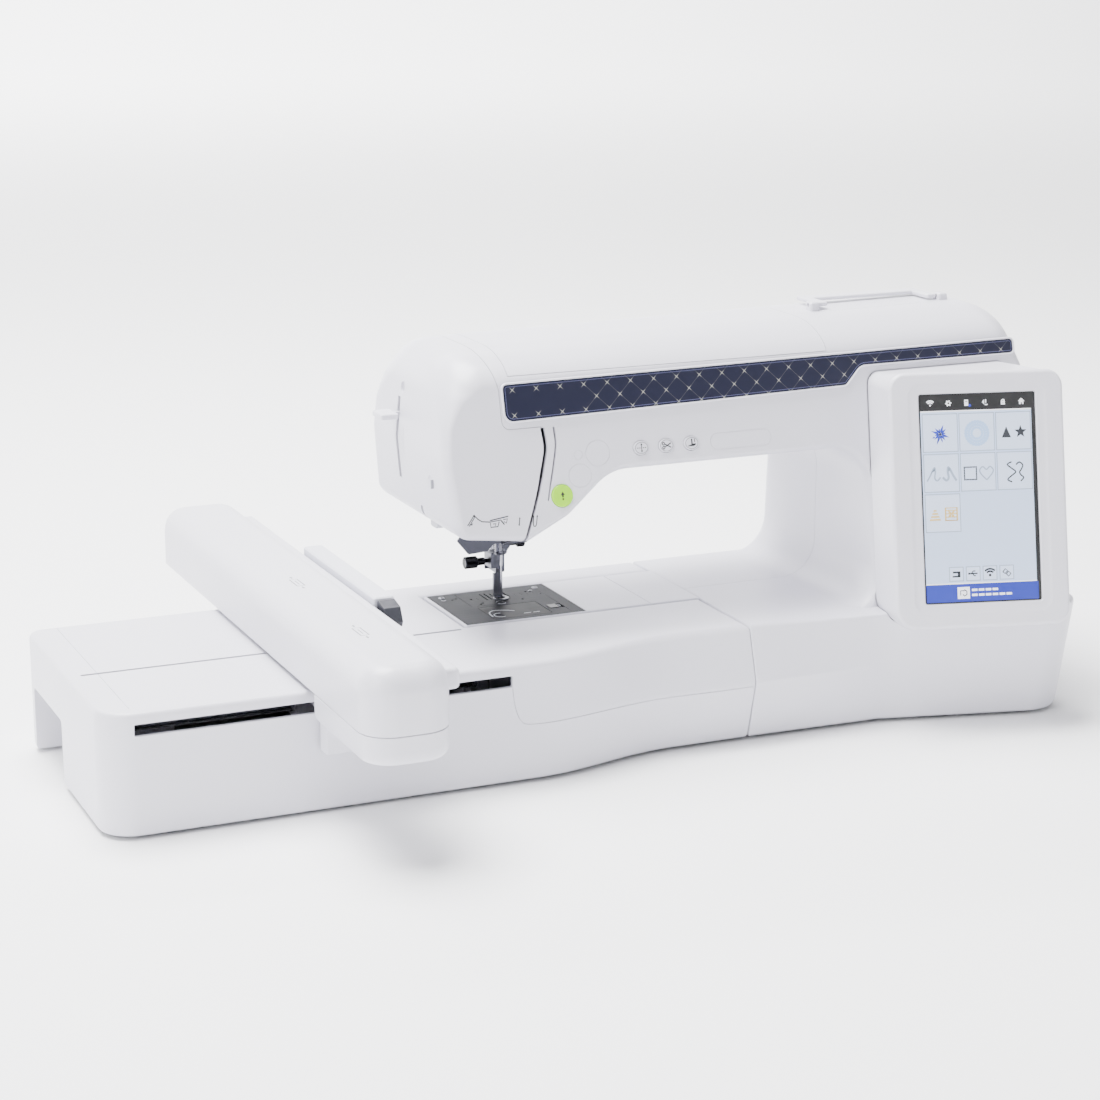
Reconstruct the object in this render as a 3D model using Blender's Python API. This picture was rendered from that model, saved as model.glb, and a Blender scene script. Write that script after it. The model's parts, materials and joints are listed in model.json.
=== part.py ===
"""Computerised sewing and embroidery machine with its embroidery unit attached.

Metres, X to the right along the arm, Y to the rear, Z up.  Every size below is in the
machine's own frame, whose zero lies on the table under the front seam between the
machine and the unit.  The empty machine_origin carries all objects and moves the
middle of the footprint to the world's zero.
"""
import math

import bmesh
import bpy
from mathutils import Matrix, Vector

for old in list(bpy.data.objects):
    bpy.data.objects.remove(old)

# ---------------------------------------------------------------- driving sizes
CLEARANCE = 0.0004          # between pieces that touch or pass each other
LOOSE = 0.0006              # where the housing and the floor plates sit in the shells
WALL = 0.0028               # moulded shells
TABLE_GAP = 0.003           # the shells' lower edge above the table
BED_TOP = 0.088             # bed, free arm and unit are level here
REAR_FACE = 0.200

# machine body
SEAM_X = 0.0025             # left wall of the machine's base
MACHINE_RIGHT = 0.267
BASE_TAPER = 0.006          # the right wall leans in towards the table
HEAD_LEFT = -0.218
HEAD_BOTTOM = 0.160
ARM_UNDERSIDE = 0.203
ARM_TOP_LEFT = 0.289
ARM_TOP_RIGHT = 0.2955
COLUMN_LEFT = 0.116
THROAT_RADIUS = 0.028
ARM_FRONT = 0.007           # front of the column at bed level
LEAN = 0.25                 # the front face recedes this much per metre of height
REAR_LEAN = 0.06
SPLIT_Y = 0.110             # front and rear shells meet here
SIDE_EDGE = (0.006, 0.010)  # rounding of the arm's edges: inset, depth
TOP_EDGE = (0.022, 0.045)
FRONT_BULGE = 0.012         # crease that stands out along the lower front
CREASE_Z = 0.048

# feet: x, y
MACHINE_FEET = {"foot_front_left": (0.030, 0.030), "foot_front_right": (0.225, -0.005),
                "foot_rear_right": (0.235, 0.175), "foot_free_arm": (-0.145, 0.125)}
UNIT_FEET = {"unit_foot_front": (-0.445, 0.020), "unit_foot_rear": (-0.300, 0.180)}

# free arm and needle
FREE_ARM_FRONT = 0.082
FREE_ARM_REAR = 0.168
FREE_ARM_LEFT = -0.187
FREE_ARM_BOTTOM = 0.030
NEEDLE_X = -0.137
NEEDLE_Y = 0.135
PLATE_RIGHT = -0.0905
PLATE_THICKNESS = 0.0018
BAR_RADIUS = 0.0032
PRESSER_Y = NEEDLE_Y + 0.0155
NEEDLE_STROKE = 0.0265
BAR_GUIDE_TOP = 0.2485
CLAMP_BOTTOM = BED_TOP + 0.036
FOOT_TOP = BED_TOP + 0.0355
HOOK_Y = 0.112
HOOK_RADIUS = 0.021
HOOK_CUP_Z = BED_TOP - 0.0325

# drive
SHAFT_RADIUS = 0.004
UPPER_SHAFT_Z = 0.245
LOWER_SHAFT_Y = 0.136
LOWER_SHAFT_Z = 0.0445
GEAR_RADIUS = 0.010
PULLEY_RADIUS = 0.018
BELT_X = 0.227
BELT_WIDTH = 0.009
MOTOR_Y = 0.075
MOTOR_Z = 0.050
MOTOR_PULLEY_RADIUS = 0.008
HANDWHEEL_RADIUS = 0.028
HANDWHEEL_X = 0.2682
HANDWHEEL_DEPTH = 0.0155
BELT_GAP = 0.0006
FRAME_Y = (0.160, 0.170)    # the cast frame's upright plate

# trim strip, lid, carrying handle and buttons
STRIP_LEFT = -0.170
STRIP_RIGHT = 0.250
LID_EDGE = 0.2745
LID_LEFT = STRIP_LEFT + 0.006
LID_RIGHT = 0.090
HANDLE_LEFT = 0.118
HANDLE_RIGHT = 0.222
HANDLE_Y = 0.118
HANDLE_Z = 0.2978           # the handle's axis, clear of the top by more than its end's swing
HANDLE_THICKNESS = 0.0032
PIN_RADIUS = 0.0012
START_BUTTON = (NEEDLE_X + 0.0045, 0.1905, 0.008, 0.008)    # x, z, half width, half height
SMALL_BUTTONS = {name: (x, 0.218, 0.006, 0.005) for name, x in (
    ("needle_position_button", -0.068), ("thread_cutter_button", -0.048),
    ("presser_foot_button", -0.028))}
BUTTONS = {"start_stop_button": START_BUTTON, **SMALL_BUTTONS}
BUTTON_PROUD = 0.0014

# needle threader's lever, thread channels, thread parts under the lid
THREADER_Y = 0.136
THREADER_SLOT = (0.190, 0.250)
CHANNEL_TOP = 0.2375
CHANNEL_BOTTOM = 0.196
CHANNEL_SPACING = 0.011
SPOOL_AXIS = (0.100, 0.2735)

# power inlet and switch
INLET_Y = (0.132, 0.160)
INLET_Z = (0.030, 0.052)
SWITCH_Z = (0.062, 0.080)

# screen housing
SCREEN_Z = 0.1725
SCREEN_STANDS_OUT = 0.058125    # its centre, in front of the column's leaning face
SCREEN_CENTRE = Vector((
    0.1745, ARM_FRONT + LEAN * (SCREEN_Z - BED_TOP) - SCREEN_STANDS_OUT, SCREEN_Z))
SCREEN_YAW = math.radians(14.5)
SCREEN_LEAN = math.atan(LEAN)
HOUSING_WIDTH = 0.133
HOUSING_HEIGHT = 0.188
GLASS_WIDTH = 0.0875
GLASS_HEIGHT = 0.1525
GLASS_OFFSET = (0.0005, 0.001)

# embroidery unit
UNIT_LEFT = -0.481
UNIT_FRONT = -0.020
UNIT_WALL_GAP = 0.0005      # between the unit and the free arm and base
TUNNEL_END = -0.405         # hand tunnel in the unit's left end
TUNNEL_FRONT = 0.098
TUNNEL_REAR = 0.182
TUNNEL_TOP = 0.050
SLOT_LEFT = -0.4595
SLOT_RIGHT = -0.193
SLOT_BOTTOM = BED_TOP - 0.016
SLOT_TOP = BED_TOP - 0.008
GROOVE_Y = 0.075
GROOVE_WIDTH = 0.0032
RAIL_Y = 0.045
RAIL_Z = 0.058

# carriage
CARRIAGE_LEFT = -0.342
CARRIAGE_RIGHT = -0.281
CARRIAGE_FRONT = -0.143
CARRIAGE_REAR = 0.343
CARRIAGE_BOTTOM = BED_TOP + 0.0032
CARRIAGE_TOP = BED_TOP + 0.047
FLANGE_RIGHT = -0.2665
FLANGE_TOP = BED_TOP + 0.0325
FLANGE_BOTTOM = BED_TOP + 0.018
Y_RAIL_X = -0.312
Y_RAIL_TOP = BED_TOP + 0.009
HOLDER_FRONT = 0.058
HOLDER_REAR = 0.215
HOLDER_RIGHT = -0.250
HOLDER_LOW = BED_TOP + 0.0165
HOLDER_TOP = BED_TOP + 0.036

WHITE = (0.86, 0.86, 0.89)
GREY = (0.30, 0.30, 0.33)
DARK = (0.03, 0.03, 0.035)
STEEL = (0.62, 0.62, 0.64)
NAVY = (0.030, 0.034, 0.075)
LIME = (0.62, 0.90, 0.14)

machine_origin = bpy.data.objects.new("machine_origin", None)
bpy.context.collection.objects.link(machine_origin)
machine_origin.location = (
    -(UNIT_LEFT + HANDWHEEL_X + HANDWHEEL_DEPTH) / 2, -(CARRIAGE_FRONT + CARRIAGE_REAR) / 2, 0)


# ---------------------------------------------------------------- modelling tools
def new_object(name, points, faces):
    mesh = bpy.data.meshes.new(name)
    mesh.from_pydata([tuple(point) for point in points], [], faces)
    obj = bpy.data.objects.new(name, mesh)
    bpy.context.collection.objects.link(obj)
    shape = bmesh.new()
    shape.from_mesh(mesh)
    bmesh.ops.recalc_face_normals(shape, faces=shape.faces)
    shape.to_mesh(mesh)
    shape.free()
    return obj


def loft(name, rings):
    """Closed solid through rings that have the same number of points."""
    count = len(rings[0])
    points = [point for ring in rings for point in ring]
    faces = [tuple(range(count)), tuple(range(len(points) - count, len(points)))]
    for level in range(len(rings) - 1):
        for index in range(count):
            here = level * count + index
            after = level * count + (index + 1) % count
            faces.append((here, after, after + count, here + count))
    return new_object(name, points, faces)


def rounded(corners, steps=4):
    """Outline with an arc at each (a, b, radius) corner."""
    outline = []
    for index, (a, b, radius) in enumerate(corners):
        here = Vector((a, b))
        if radius == 0:
            outline.append(here)
            continue
        back = (Vector(corners[index - 1][:2]) - here).normalized()
        ahead = (Vector(corners[(index + 1) % len(corners)][:2]) - here).normalized()
        half = back.angle(ahead) / 2
        centre = here + (back + ahead).normalized() * radius / math.sin(half)
        start = here + back * radius / math.tan(half) - centre
        sweep = math.pi - 2 * half
        if back.x * ahead.y - back.y * ahead.x > 0:
            sweep = -sweep
        for step in range(steps + 1):
            turn = Matrix.Rotation(sweep * step / steps, 2)
            outline.append(centre + turn @ start)
    return outline


def inset(outline, distance):
    """The counter-clockwise outline moved inwards, by a number or a rule."""
    moved = []
    for index, here in enumerate(outline):
        one = (here - outline[index - 1]).normalized()
        two = (outline[(index + 1) % len(outline)] - here).normalized()
        normal_one = Vector((-one.y, one.x))
        normal_two = Vector((-two.y, two.x))
        reach = distance(here) if callable(distance) else distance
        moved.append(here + (normal_one + normal_two) * reach / (1 + normal_one.dot(normal_two)))
    return moved


def lift(point, axis, along):
    """A 2-D point put into space, with `along` on the axis."""
    if axis == "X":
        return Vector((along, point[0], point[1]))
    if axis == "Y":
        return Vector((point[0], along, point[1]))
    return Vector((point[0], point[1], along))


def prism(name, outline, axis, low, high):
    return loft(name, [[lift(point, axis, level) for point in outline] for level in (low, high)])


def box(name, low, high, edge=0.0):
    corners = [(low[0], low[1], edge), (high[0], low[1], edge), (high[0], high[1], edge),
               (low[0], high[1], edge)]
    outline = rounded(corners, 3)
    if edge == 0:
        return prism(name, outline, "Z", low[2], high[2])
    small = inset(outline, edge * 0.6)
    levels = ((low[2], small), (low[2] + edge * 0.6, outline), (high[2] - edge * 0.6, outline),
              (high[2], small))
    return loft(name, [[lift(point, "Z", level) for point in ring] for level, ring in levels])


def turned(name, axis, centre, profile, segments=24):
    """Solid of revolution: profile holds (along, radius) pairs, centre is off the axis."""
    rings = []
    for along, radius in profile:
        ring = []
        for index in range(segments):
            angle = 2 * math.pi * index / segments
            point = (centre[0] + radius * math.cos(angle), centre[1] + radius * math.sin(angle))
            ring.append(lift(point, axis, along))
        rings.append(ring)
    return loft(name, rings)


def rod(name, axis, centre, radius, low, high, segments=20):
    return turned(name, axis, centre, [(low, radius), (high, radius)], segments)


def combine(target, tool, operation):
    """Apply a Boolean with the tool and remove the tool."""
    modifier = target.modifiers.new("combine", "BOOLEAN")
    modifier.operation = operation
    modifier.solver = "EXACT"
    modifier.object = tool
    bpy.context.view_layer.update()
    graph = bpy.context.evaluated_depsgraph_get()
    mesh = bpy.data.meshes.new_from_object(target.evaluated_get(graph))
    target.modifiers.clear()
    target.data = mesh
    bpy.data.objects.remove(tool)
    return target


def cut(target, *tools):
    for tool in tools:
        combine(target, tool, "DIFFERENCE")
    return target


def join(target, *tools):
    for tool in tools:
        combine(target, tool, "UNION")
    return target


def keep(target, tool):
    return combine(target, tool, "INTERSECT")


def copy_of(obj, name):
    twin = obj.copy()
    twin.data = obj.data.copy()
    twin.name = name
    bpy.context.collection.objects.link(twin)
    return twin


def finish(obj, colour, roughness, metallic=0.0, pivot=(0, 0, 0)):
    """Own material, origin on the pivot, parent on the machine's frame."""
    obj.data.transform(Matrix.Translation(-Vector(pivot)))
    obj.location = pivot
    obj.parent = machine_origin
    obj.data.name = obj.name
    material = bpy.data.materials.new(obj.name)
    material.use_nodes = True
    shader = material.node_tree.nodes["Principled BSDF"]
    shader.inputs["Base Color"].default_value = (*colour, 1.0)
    shader.inputs["Roughness"].default_value = roughness
    shader.inputs["Metallic"].default_value = metallic
    obj.data.materials.clear()
    obj.data.materials.append(material)
    return obj


def blend(low, high, value):
    """Smooth step from 0 at low to 1 at high."""
    share = min(max((value - low) / (high - low), 0.0), 1.0)
    return share * share * (3 - 2 * share)


# ---------------------------------------------------------------- machine body
def front_plane(z):
    return ARM_FRONT + LEAN * (z - BED_TOP)


def rear_plane(z):
    return REAR_FACE - REAR_LEAN * max(z - BED_TOP, 0)


def arm_outline():
    """Front view of head, arm and column, with the bed's top as its lower limb."""
    limb = BED_TOP - 0.028
    return rounded([
        (SEAM_X + 0.0035, limb, 0),
        (MACHINE_RIGHT - 0.004, limb, 0),
        (MACHINE_RIGHT, limb + 0.060, 0.050),
        (MACHINE_RIGHT - 0.005, ARM_TOP_RIGHT, 0.030),
        (HEAD_LEFT + 0.006, ARM_TOP_LEFT, 0.032),
        (HEAD_LEFT, HEAD_BOTTOM + 0.060, 0.040),
        (HEAD_LEFT + 0.005, HEAD_BOTTOM + 0.006, 0.012),
        (NEEDLE_X - 0.023, HEAD_BOTTOM, 0.008),
        (NEEDLE_X + 0.010, HEAD_BOTTOM + 0.015, 0.040),
        (NEEDLE_X + 0.046, ARM_UNDERSIDE, 0.040),
        (COLUMN_LEFT, ARM_UNDERSIDE, THROAT_RADIUS),
        (COLUMN_LEFT, BED_TOP, THROAT_RADIUS),
        (SEAM_X + 0.0035, BED_TOP, 0),
    ], 5)


def arm_solid(name, skin):
    """The C-shaped body, `skin` inside its real surface."""
    outline = inset(arm_outline(), skin)
    slope = math.hypot(1, LEAN)

    def rounding(point):
        share = blend(0.238, 0.278, point.y)
        return [side + (top - side) * share - skin for side, top in zip(SIDE_EDGE, TOP_EDGE)]

    front = []
    rear = []
    for step in range(5):
        angle = math.pi / 2 * step / 4
        ring = inset(outline, lambda point: rounding(point)[0] * (1 - math.sin(angle)))
        depths = [rounding(point)[1] * (1 - math.cos(angle)) for point in outline]
        front.append([lift(point, "Y", front_plane(point.y) + skin * slope + depth)
                      for point, depth in zip(ring, depths)])
        rear.append([lift(point, "Y", rear_plane(point.y) - skin - depth)
                     for point, depth in zip(ring, depths)])
    return loft(name, front + rear[::-1])


def base_front(x, z):
    """Y of the machine's front below the bed's top."""
    foot = -0.0024 * blend(0, 0.117, x) - 0.25 * max(x - 0.110, 0)
    brow = 0.001 - 0.012 * blend(0, 0.105, x) - 0.25 * max(x - 0.105, 0)
    height = (z - TABLE_GAP) / (BED_TOP - TABLE_GAP)
    crease = (CREASE_Z - TABLE_GAP) / (BED_TOP - TABLE_GAP)
    ramp = height / crease if height < crease else (1 - height) / (1 - crease)
    return foot + (brow - foot) * height - FRONT_BULGE * (1 - blend(0, 0.13, x)) * ramp


def base_section(z, skin):
    right = MACHINE_RIGHT - BASE_TAPER * (BED_TOP - z) / BED_TOP
    corners = [(SEAM_X, base_front(SEAM_X, z), 0)]
    corners += [(x, base_front(x, z), 0) for x in (0.03, 0.06, 0.09, 0.12, 0.15, 0.19)]
    corners += [(right, base_front(right, z), 0.030), (right, REAR_FACE, 0.012),
                (SEAM_X, REAR_FACE, 0)]
    return inset(rounded(corners), skin)


def base_solid(name, skin, bottom):
    levels = [(bottom, 0.0015), (bottom + 0.002, 0), (0.026, 0), (CREASE_Z, 0), (0.068, 0),
              (BED_TOP - 0.003, 0), (BED_TOP - skin, 0.003 if skin == 0 else 0)]
    rings = []
    for level, edge in levels:
        section = base_section(max(level, TABLE_GAP), skin + edge)
        rings.append([lift(point, "Z", level) for point in section])
    return loft(name, rings)


def housing_frame():
    """Right, back and up directions of the screen housing, and its front centre."""
    across = Vector((math.cos(SCREEN_YAW), -math.sin(SCREEN_YAW), 0))
    level = Vector((math.sin(SCREEN_YAW), math.cos(SCREEN_YAW), 0))
    up = Vector((0, 0, math.cos(SCREEN_LEAN))) + level * math.sin(SCREEN_LEAN)
    back = level * math.cos(SCREEN_LEAN) - Vector((0, 0, math.sin(SCREEN_LEAN)))
    return across, back, up


def housing_point(u, depth, v):
    across, back, up = housing_frame()
    return SCREEN_CENTRE + across * u + back * depth + up * v


def housing_solid(name, skin, overshoot=0.0):
    """Screen housing, `skin` inside its surface, back to the column's front plane."""
    half_width = HOUSING_WIDTH / 2
    half_height = HOUSING_HEIGHT / 2
    outline = inset(rounded([(-half_width, -half_height, 0.016), (half_width, -half_height, 0.012),
                             (half_width, half_height, 0.013), (-half_width, half_height, 0.013)]),
                    skin)
    rings = [[housing_point(point.x, skin + depth, point.y) for point in inset(outline, edge)]
             for edge, depth in ((0.0030, 0), (0.0010, 0.0010), (0, 0.0035), (0, 0.012))]
    last = []
    for point in inset(outline, 0.004):
        place = housing_point(point.x, 0.012, point.y)
        place.y = front_plane(place.z) - LOOSE + overshoot
        last.append(place)
    return loft(name, rings + [last])


def seam_outline(gap):
    """Face cover's region in front view, grown by `gap`; it runs round the trim strip."""
    seam = [(NEEDLE_X - 0.027, HEAD_BOTTOM - 0.01), (NEEDLE_X - 0.025, HEAD_BOTTOM + 0.003),
            (NEEDLE_X - 0.011, 0.203), (NEEDLE_X - 0.006, 0.222), (NEEDLE_X - 0.006, 0.2385),
            (STRIP_LEFT + 0.002, 0.2385), (STRIP_LEFT - 0.003, 0.2440), (STRIP_LEFT - 0.003, 0.266),
            (STRIP_LEFT - 0.012, 0.310), (HEAD_LEFT - 0.02, 0.310),
            (HEAD_LEFT - 0.02, HEAD_BOTTOM - 0.01)]
    return inset([Vector(point) for point in seam], -gap)


def along_front(name, x, z, radius_x, radius_z, outside, inside, segments=24):
    """Oval plug that stands square on the leaning front face."""
    inward = Vector((0, 1, -LEAN)).normalized()
    up = Vector((0, LEAN, 1)).normalized()
    centre = Vector((x, front_plane(z), z))
    rings = []
    for depth in (-outside, inside):
        ring = []
        for index in range(segments):
            angle = 2 * math.pi * index / segments
            ring.append(centre + Vector((radius_x * math.cos(angle), 0, 0))
                        + up * radius_z * math.sin(angle) + inward * depth)
        rings.append(ring)
    return loft(name, rings)


body = join(arm_solid("body", 0), base_solid("base", 0, TABLE_GAP))
hollow = join(arm_solid("hollow", WALL), base_solid("base_hollow", WALL, -0.002))
cut(body, hollow)
cut(body, housing_solid("housing_pocket", -LOOSE, 0.002))

# openings: wiring to the free arm, base tongue, needle and presser bars, rear lever
cut(body,
    box("arm_port", (SEAM_X - 0.01, FREE_ARM_FRONT + WALL, FREE_ARM_BOTTOM + WALL),
        (SEAM_X + 0.01, FREE_ARM_REAR - WALL, BED_TOP - WALL - 0.002)),
    box("tongue_port", (SEAM_X - 0.01, 0.090, -0.01), (SEAM_X + 0.01, 0.160, 0.0075)),
    box("needle_port", (NEEDLE_X - 0.019, SPLIT_Y + 0.004, HEAD_BOTTOM - 0.02),
        (NEEDLE_X + 0.014, PRESSER_Y + 0.012, 0.183)),
    box("lever_port", (NEEDLE_X - 0.0065, PRESSER_Y + 0.011, HEAD_BOTTOM - 0.02),
        (NEEDLE_X + 0.0065, REAR_FACE + 0.01, 0.215)),
    rod("shaft_port", "X", (NEEDLE_Y, UPPER_SHAFT_Z), SHAFT_RADIUS + 0.0012, 0.24, 0.30),
    box("inlet_port", (0.24, INLET_Y[0], INLET_Z[0]), (0.30, INLET_Y[1], INLET_Z[1])),
    box("switch_port", (0.24, INLET_Y[0], SWITCH_Z[0]), (0.30, INLET_Y[1], SWITCH_Z[1])),
    box("threader_port", (HEAD_LEFT - 0.01, THREADER_Y - 0.0025, THREADER_SLOT[0]),
        (HEAD_LEFT + 0.02, THREADER_Y + 0.0025, THREADER_SLOT[1])))
for x, z, half_width, half_height in BUTTONS.values():
    cut(body, along_front("port", x, z, half_width + CLEARANCE, half_height + CLEARANCE,
                          0.01, 0.02))

# the two thread channels in the front of the head
for side in (0.0, CHANNEL_SPACING):
    top = (NEEDLE_X - 0.004 + side, CHANNEL_TOP)
    bottom = (NEEDLE_X - 0.0095 + side * 0.9, CHANNEL_BOTTOM)
    channel = prism("channel", [(bottom[0] - 0.001, bottom[1]), (bottom[0] + 0.001, bottom[1]),
                                (top[0] + 0.001, top[1]), (top[0] - 0.001, top[1])],
                    "Y", 0.0, 0.07)
    cut(body, channel)

face_cover = keep(copy_of(body, "face_cover"), prism("tool", seam_outline(0), "Y", -0.1, 0.3))
cut(body, prism("tool", seam_outline(CLEARANCE), "Y", -0.1, 0.3))
finish(face_cover, WHITE, 0.35)

lid_region = ((LID_LEFT, -0.1, LID_EDGE), (LID_RIGHT, 0.3, 0.32))
top_lid = keep(copy_of(body, "top_lid"), box("tool", *lid_region))
cut(body, box("tool", (LID_LEFT - CLEARANCE, -0.1, LID_EDGE - CLEARANCE),
              (LID_RIGHT + CLEARANCE, 0.3, 0.32)))
LID_HINGE = (0, rear_plane(LID_EDGE) + 0.0005, LID_EDGE)
finish(top_lid, WHITE, 0.35, pivot=LID_HINGE)

rear_shell = cut(copy_of(body, "rear_shell"), box("tool", (-0.4, -0.2, -0.1),
                                                  (0.4, SPLIT_Y + CLEARANCE / 2, 0.4)))
front_shell = cut(body, box("tool", (-0.4, SPLIT_Y - CLEARANCE / 2, -0.1), (0.4, 0.4, 0.4)))
front_shell.name = "front_shell"

# bosses for the carrying handle stand on the rear shell
for x in (HANDLE_LEFT - 0.0045, HANDLE_RIGHT + 0.0045):
    boss = box("boss", (x - 0.004, HANDLE_Y - 0.005, 0.2915), (x + 0.004, HANDLE_Y + 0.005, 0.3003),
               0.0015)
    join(rear_shell, boss)
    cut(rear_shell, rod("bore", "X", (HANDLE_Y, HANDLE_Z), PIN_RADIUS + CLEARANCE,
                        x - 0.01, x + 0.01, 16))
finish(front_shell, WHITE, 0.35)
finish(rear_shell, WHITE, 0.35)

# carrying handle: two arms and a grip that lie back over the top
half = HANDLE_THICKNESS / 2
handle = box("carry_handle", (HANDLE_LEFT, HANDLE_Y - half, HANDLE_Z - half),
             (HANDLE_LEFT + 0.008, HANDLE_Y + 0.034, HANDLE_Z + half), 0.001)
join(handle,
     box("arm", (HANDLE_RIGHT - 0.008, HANDLE_Y - half, HANDLE_Z - half),
         (HANDLE_RIGHT, HANDLE_Y + 0.034, HANDLE_Z + half), 0.001),
     box("grip", (HANDLE_LEFT + 0.001, HANDLE_Y + 0.022, HANDLE_Z - 0.0014),
         (HANDLE_RIGHT - 0.001, HANDLE_Y + 0.0335, HANDLE_Z + 0.0014), 0.001),
     rod("pin", "X", (HANDLE_Y, HANDLE_Z), PIN_RADIUS, HANDLE_LEFT - 0.005,
         HANDLE_LEFT + 0.003, 12),
     rod("pin", "X", (HANDLE_Y, HANDLE_Z), PIN_RADIUS, HANDLE_RIGHT - 0.003,
         HANDLE_RIGHT + 0.005, 12))
finish(handle, WHITE, 0.35, pivot=((HANDLE_LEFT + HANDLE_RIGHT) / 2, HANDLE_Y, HANDLE_Z))

# trim strip on the front of the arm, a raised band that steps up over the screen
strip_outline = rounded([(STRIP_LEFT, 0.2440, 0.004), (0.103, 0.2492, 0.006),
                         (0.117, 0.2625, 0.006), (STRIP_RIGHT, 0.2625, 0.002),
                         (STRIP_RIGHT, 0.2725, 0.003), (STRIP_LEFT, 0.2690, 0.004)], 3)
strip_rings = []
for proud, edge in ((CLEARANCE, 0), (0.0018, 0), (0.0024, 0.0008)):
    strip_rings.append([lift(point, "Y", front_plane(point.y) - proud)
                        for point in inset(strip_outline, edge)])
finish(loft("trim_strip", strip_rings), NAVY, 0.3)

# buttons in the front of the arm
for name, (x, z, half_width, half_height) in BUTTONS.items():
    button = along_front(name, x, z, half_width, half_height, BUTTON_PROUD, 0.005)
    finish(button, LIME if name == "start_stop_button" else WHITE, 0.35,
           pivot=(x, front_plane(z), z))

# ---------------------------------------------------------------- screen
housing = cut(housing_solid("screen_housing", 0), housing_solid("cavity", WALL, 0.01))
glass_outline = [Vector((GLASS_OFFSET[0] + u * GLASS_WIDTH / 2, GLASS_OFFSET[1] + v * GLASS_HEIGHT / 2))
                 for u, v in ((-1, -1), (1, -1), (1, 1), (-1, 1))]


def panel(name, grow, front, rear):
    ring = inset(glass_outline, -grow)
    return loft(name, [[housing_point(p.x, depth, p.y) for p in ring] for depth in (front, rear)])


cut(housing, panel("window", CLEARANCE, -0.01, 0.02))
finish(housing, WHITE, 0.35)
screen = join(panel("screen_glass", 0, 0.0006, 0.004), panel("rim", 0.004, 0.0034, 0.010))
finish(screen, (0.45, 0.55, 0.70), 0.12)

# ---------------------------------------------------------------- base plate and feet
plate = loft("base_plate", [[lift(point, "Z", level) for point in base_section(TABLE_GAP + 0.003,
                                                                               WALL + LOOSE)]
                            for level in (TABLE_GAP + 0.0002, TABLE_GAP + 0.0028)])
join(plate, box("tongue", (FREE_ARM_LEFT + 0.025, 0.092, TABLE_GAP + 0.0002),
                (SEAM_X + 0.02, 0.158, TABLE_GAP + 0.0028)))
finish(plate, GREY, 0.5)


def foot(name, x, y):
    piece = turned(name, "Z", (x, y), [(0, 0.0075), (0.0006, 0.0085),
                                       (TABLE_GAP + 0.0002 - CLEARANCE, 0.0095)], 20)
    return finish(piece, DARK, 0.8)


for name, (x, y) in MACHINE_FEET.items():
    foot(name, x, y)

# ---------------------------------------------------------------- free arm
def arm_section(skin):
    """Side view of the free arm: rounded below, nearly square at the bed's level."""
    return rounded([(FREE_ARM_FRONT + skin, FREE_ARM_BOTTOM + skin, 0.012 - skin),
                    (FREE_ARM_REAR - skin, FREE_ARM_BOTTOM + skin, 0.012 - skin),
                    (FREE_ARM_REAR - skin, BED_TOP - skin, 0.0012),
                    (FREE_ARM_FRONT + skin, BED_TOP - skin, 0.0012)])


def arm_rings(skin, stations):
    return [[lift(point, "X", x) for point in arm_section(skin + edge)] for x, edge in stations]


free_arm = loft("free_arm_cover", arm_rings(0, ((FREE_ARM_LEFT, 0.0012),
                                                (FREE_ARM_LEFT + 0.002, 0),
                                                (SEAM_X - CLEARANCE, 0))))
RECESS = (FREE_ARM_LEFT + 0.0018, PLATE_RIGHT + CLEARANCE)
PLATE_FRONT = FREE_ARM_FRONT + 0.0016
PLATE_REAR = FREE_ARM_REAR - 0.0016
cut(free_arm,
    loft("hollow", arm_rings(WALL, ((FREE_ARM_LEFT + WALL, 0), (SEAM_X + 0.01, 0)))),
    box("recess", (RECESS[0], PLATE_FRONT - CLEARANCE, BED_TOP - PLATE_THICKNESS - CLEARANCE),
        (RECESS[1], PLATE_REAR + CLEARANCE, BED_TOP + 0.01)),
    box("well", (RECESS[0] + 0.004, FREE_ARM_FRONT + 0.005, BED_TOP - 0.01),
        (RECESS[1] - 0.004, FREE_ARM_REAR - 0.005, BED_TOP + 0.01)))
finish(free_arm, WHITE, 0.35)

PLATE_LEFT = RECESS[0] + CLEARANCE
COVER = (NEEDLE_X - 0.024, 0.0895, NEEDLE_X + 0.022, 0.1225)
LATCH = (COVER[2] + 0.003, 0.100, COVER[2] + 0.015, 0.110)
plate_low = BED_TOP - PLATE_THICKNESS
needle_plate = box("needle_plate", (PLATE_LEFT, PLATE_FRONT, plate_low),
                   (PLATE_RIGHT, PLATE_REAR, BED_TOP))
through = (BED_TOP - 0.01, BED_TOP + 0.01)
cut(needle_plate,
    box("cover_hole", (COVER[0] - CLEARANCE, COVER[1] - CLEARANCE, through[0]),
        (COVER[2] + CLEARANCE, COVER[3] + CLEARANCE, through[1])),
    rod("needle_hole", "Z", (NEEDLE_X, NEEDLE_Y), 0.0022, *through, 16),
    box("latch_hole", (LATCH[0], LATCH[1], through[0]), (LATCH[2], LATCH[3], through[1])))
finish(needle_plate, (0.075, 0.077, 0.09), 0.4, 0.6)
finish(box("bobbin_cover", (COVER[0], COVER[1], plate_low + 0.0002), (COVER[2], COVER[3], BED_TOP)),
       (0.10, 0.10, 0.11), 0.15)
latch = join(box("cover_latch", (LATCH[0] + 0.0005, LATCH[1] + 0.0005, plate_low - 0.001),
                 (LATCH[0] + 0.0075, LATCH[3] - 0.0005, BED_TOP + 0.0004)),
             box("flange", (LATCH[0] - 0.0015, LATCH[1] - 0.0015, plate_low - 0.0022),
                 (LATCH[0] + 0.0095, LATCH[3] + 0.0015, plate_low - 0.0008)))
finish(latch, DARK, 0.4)

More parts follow.
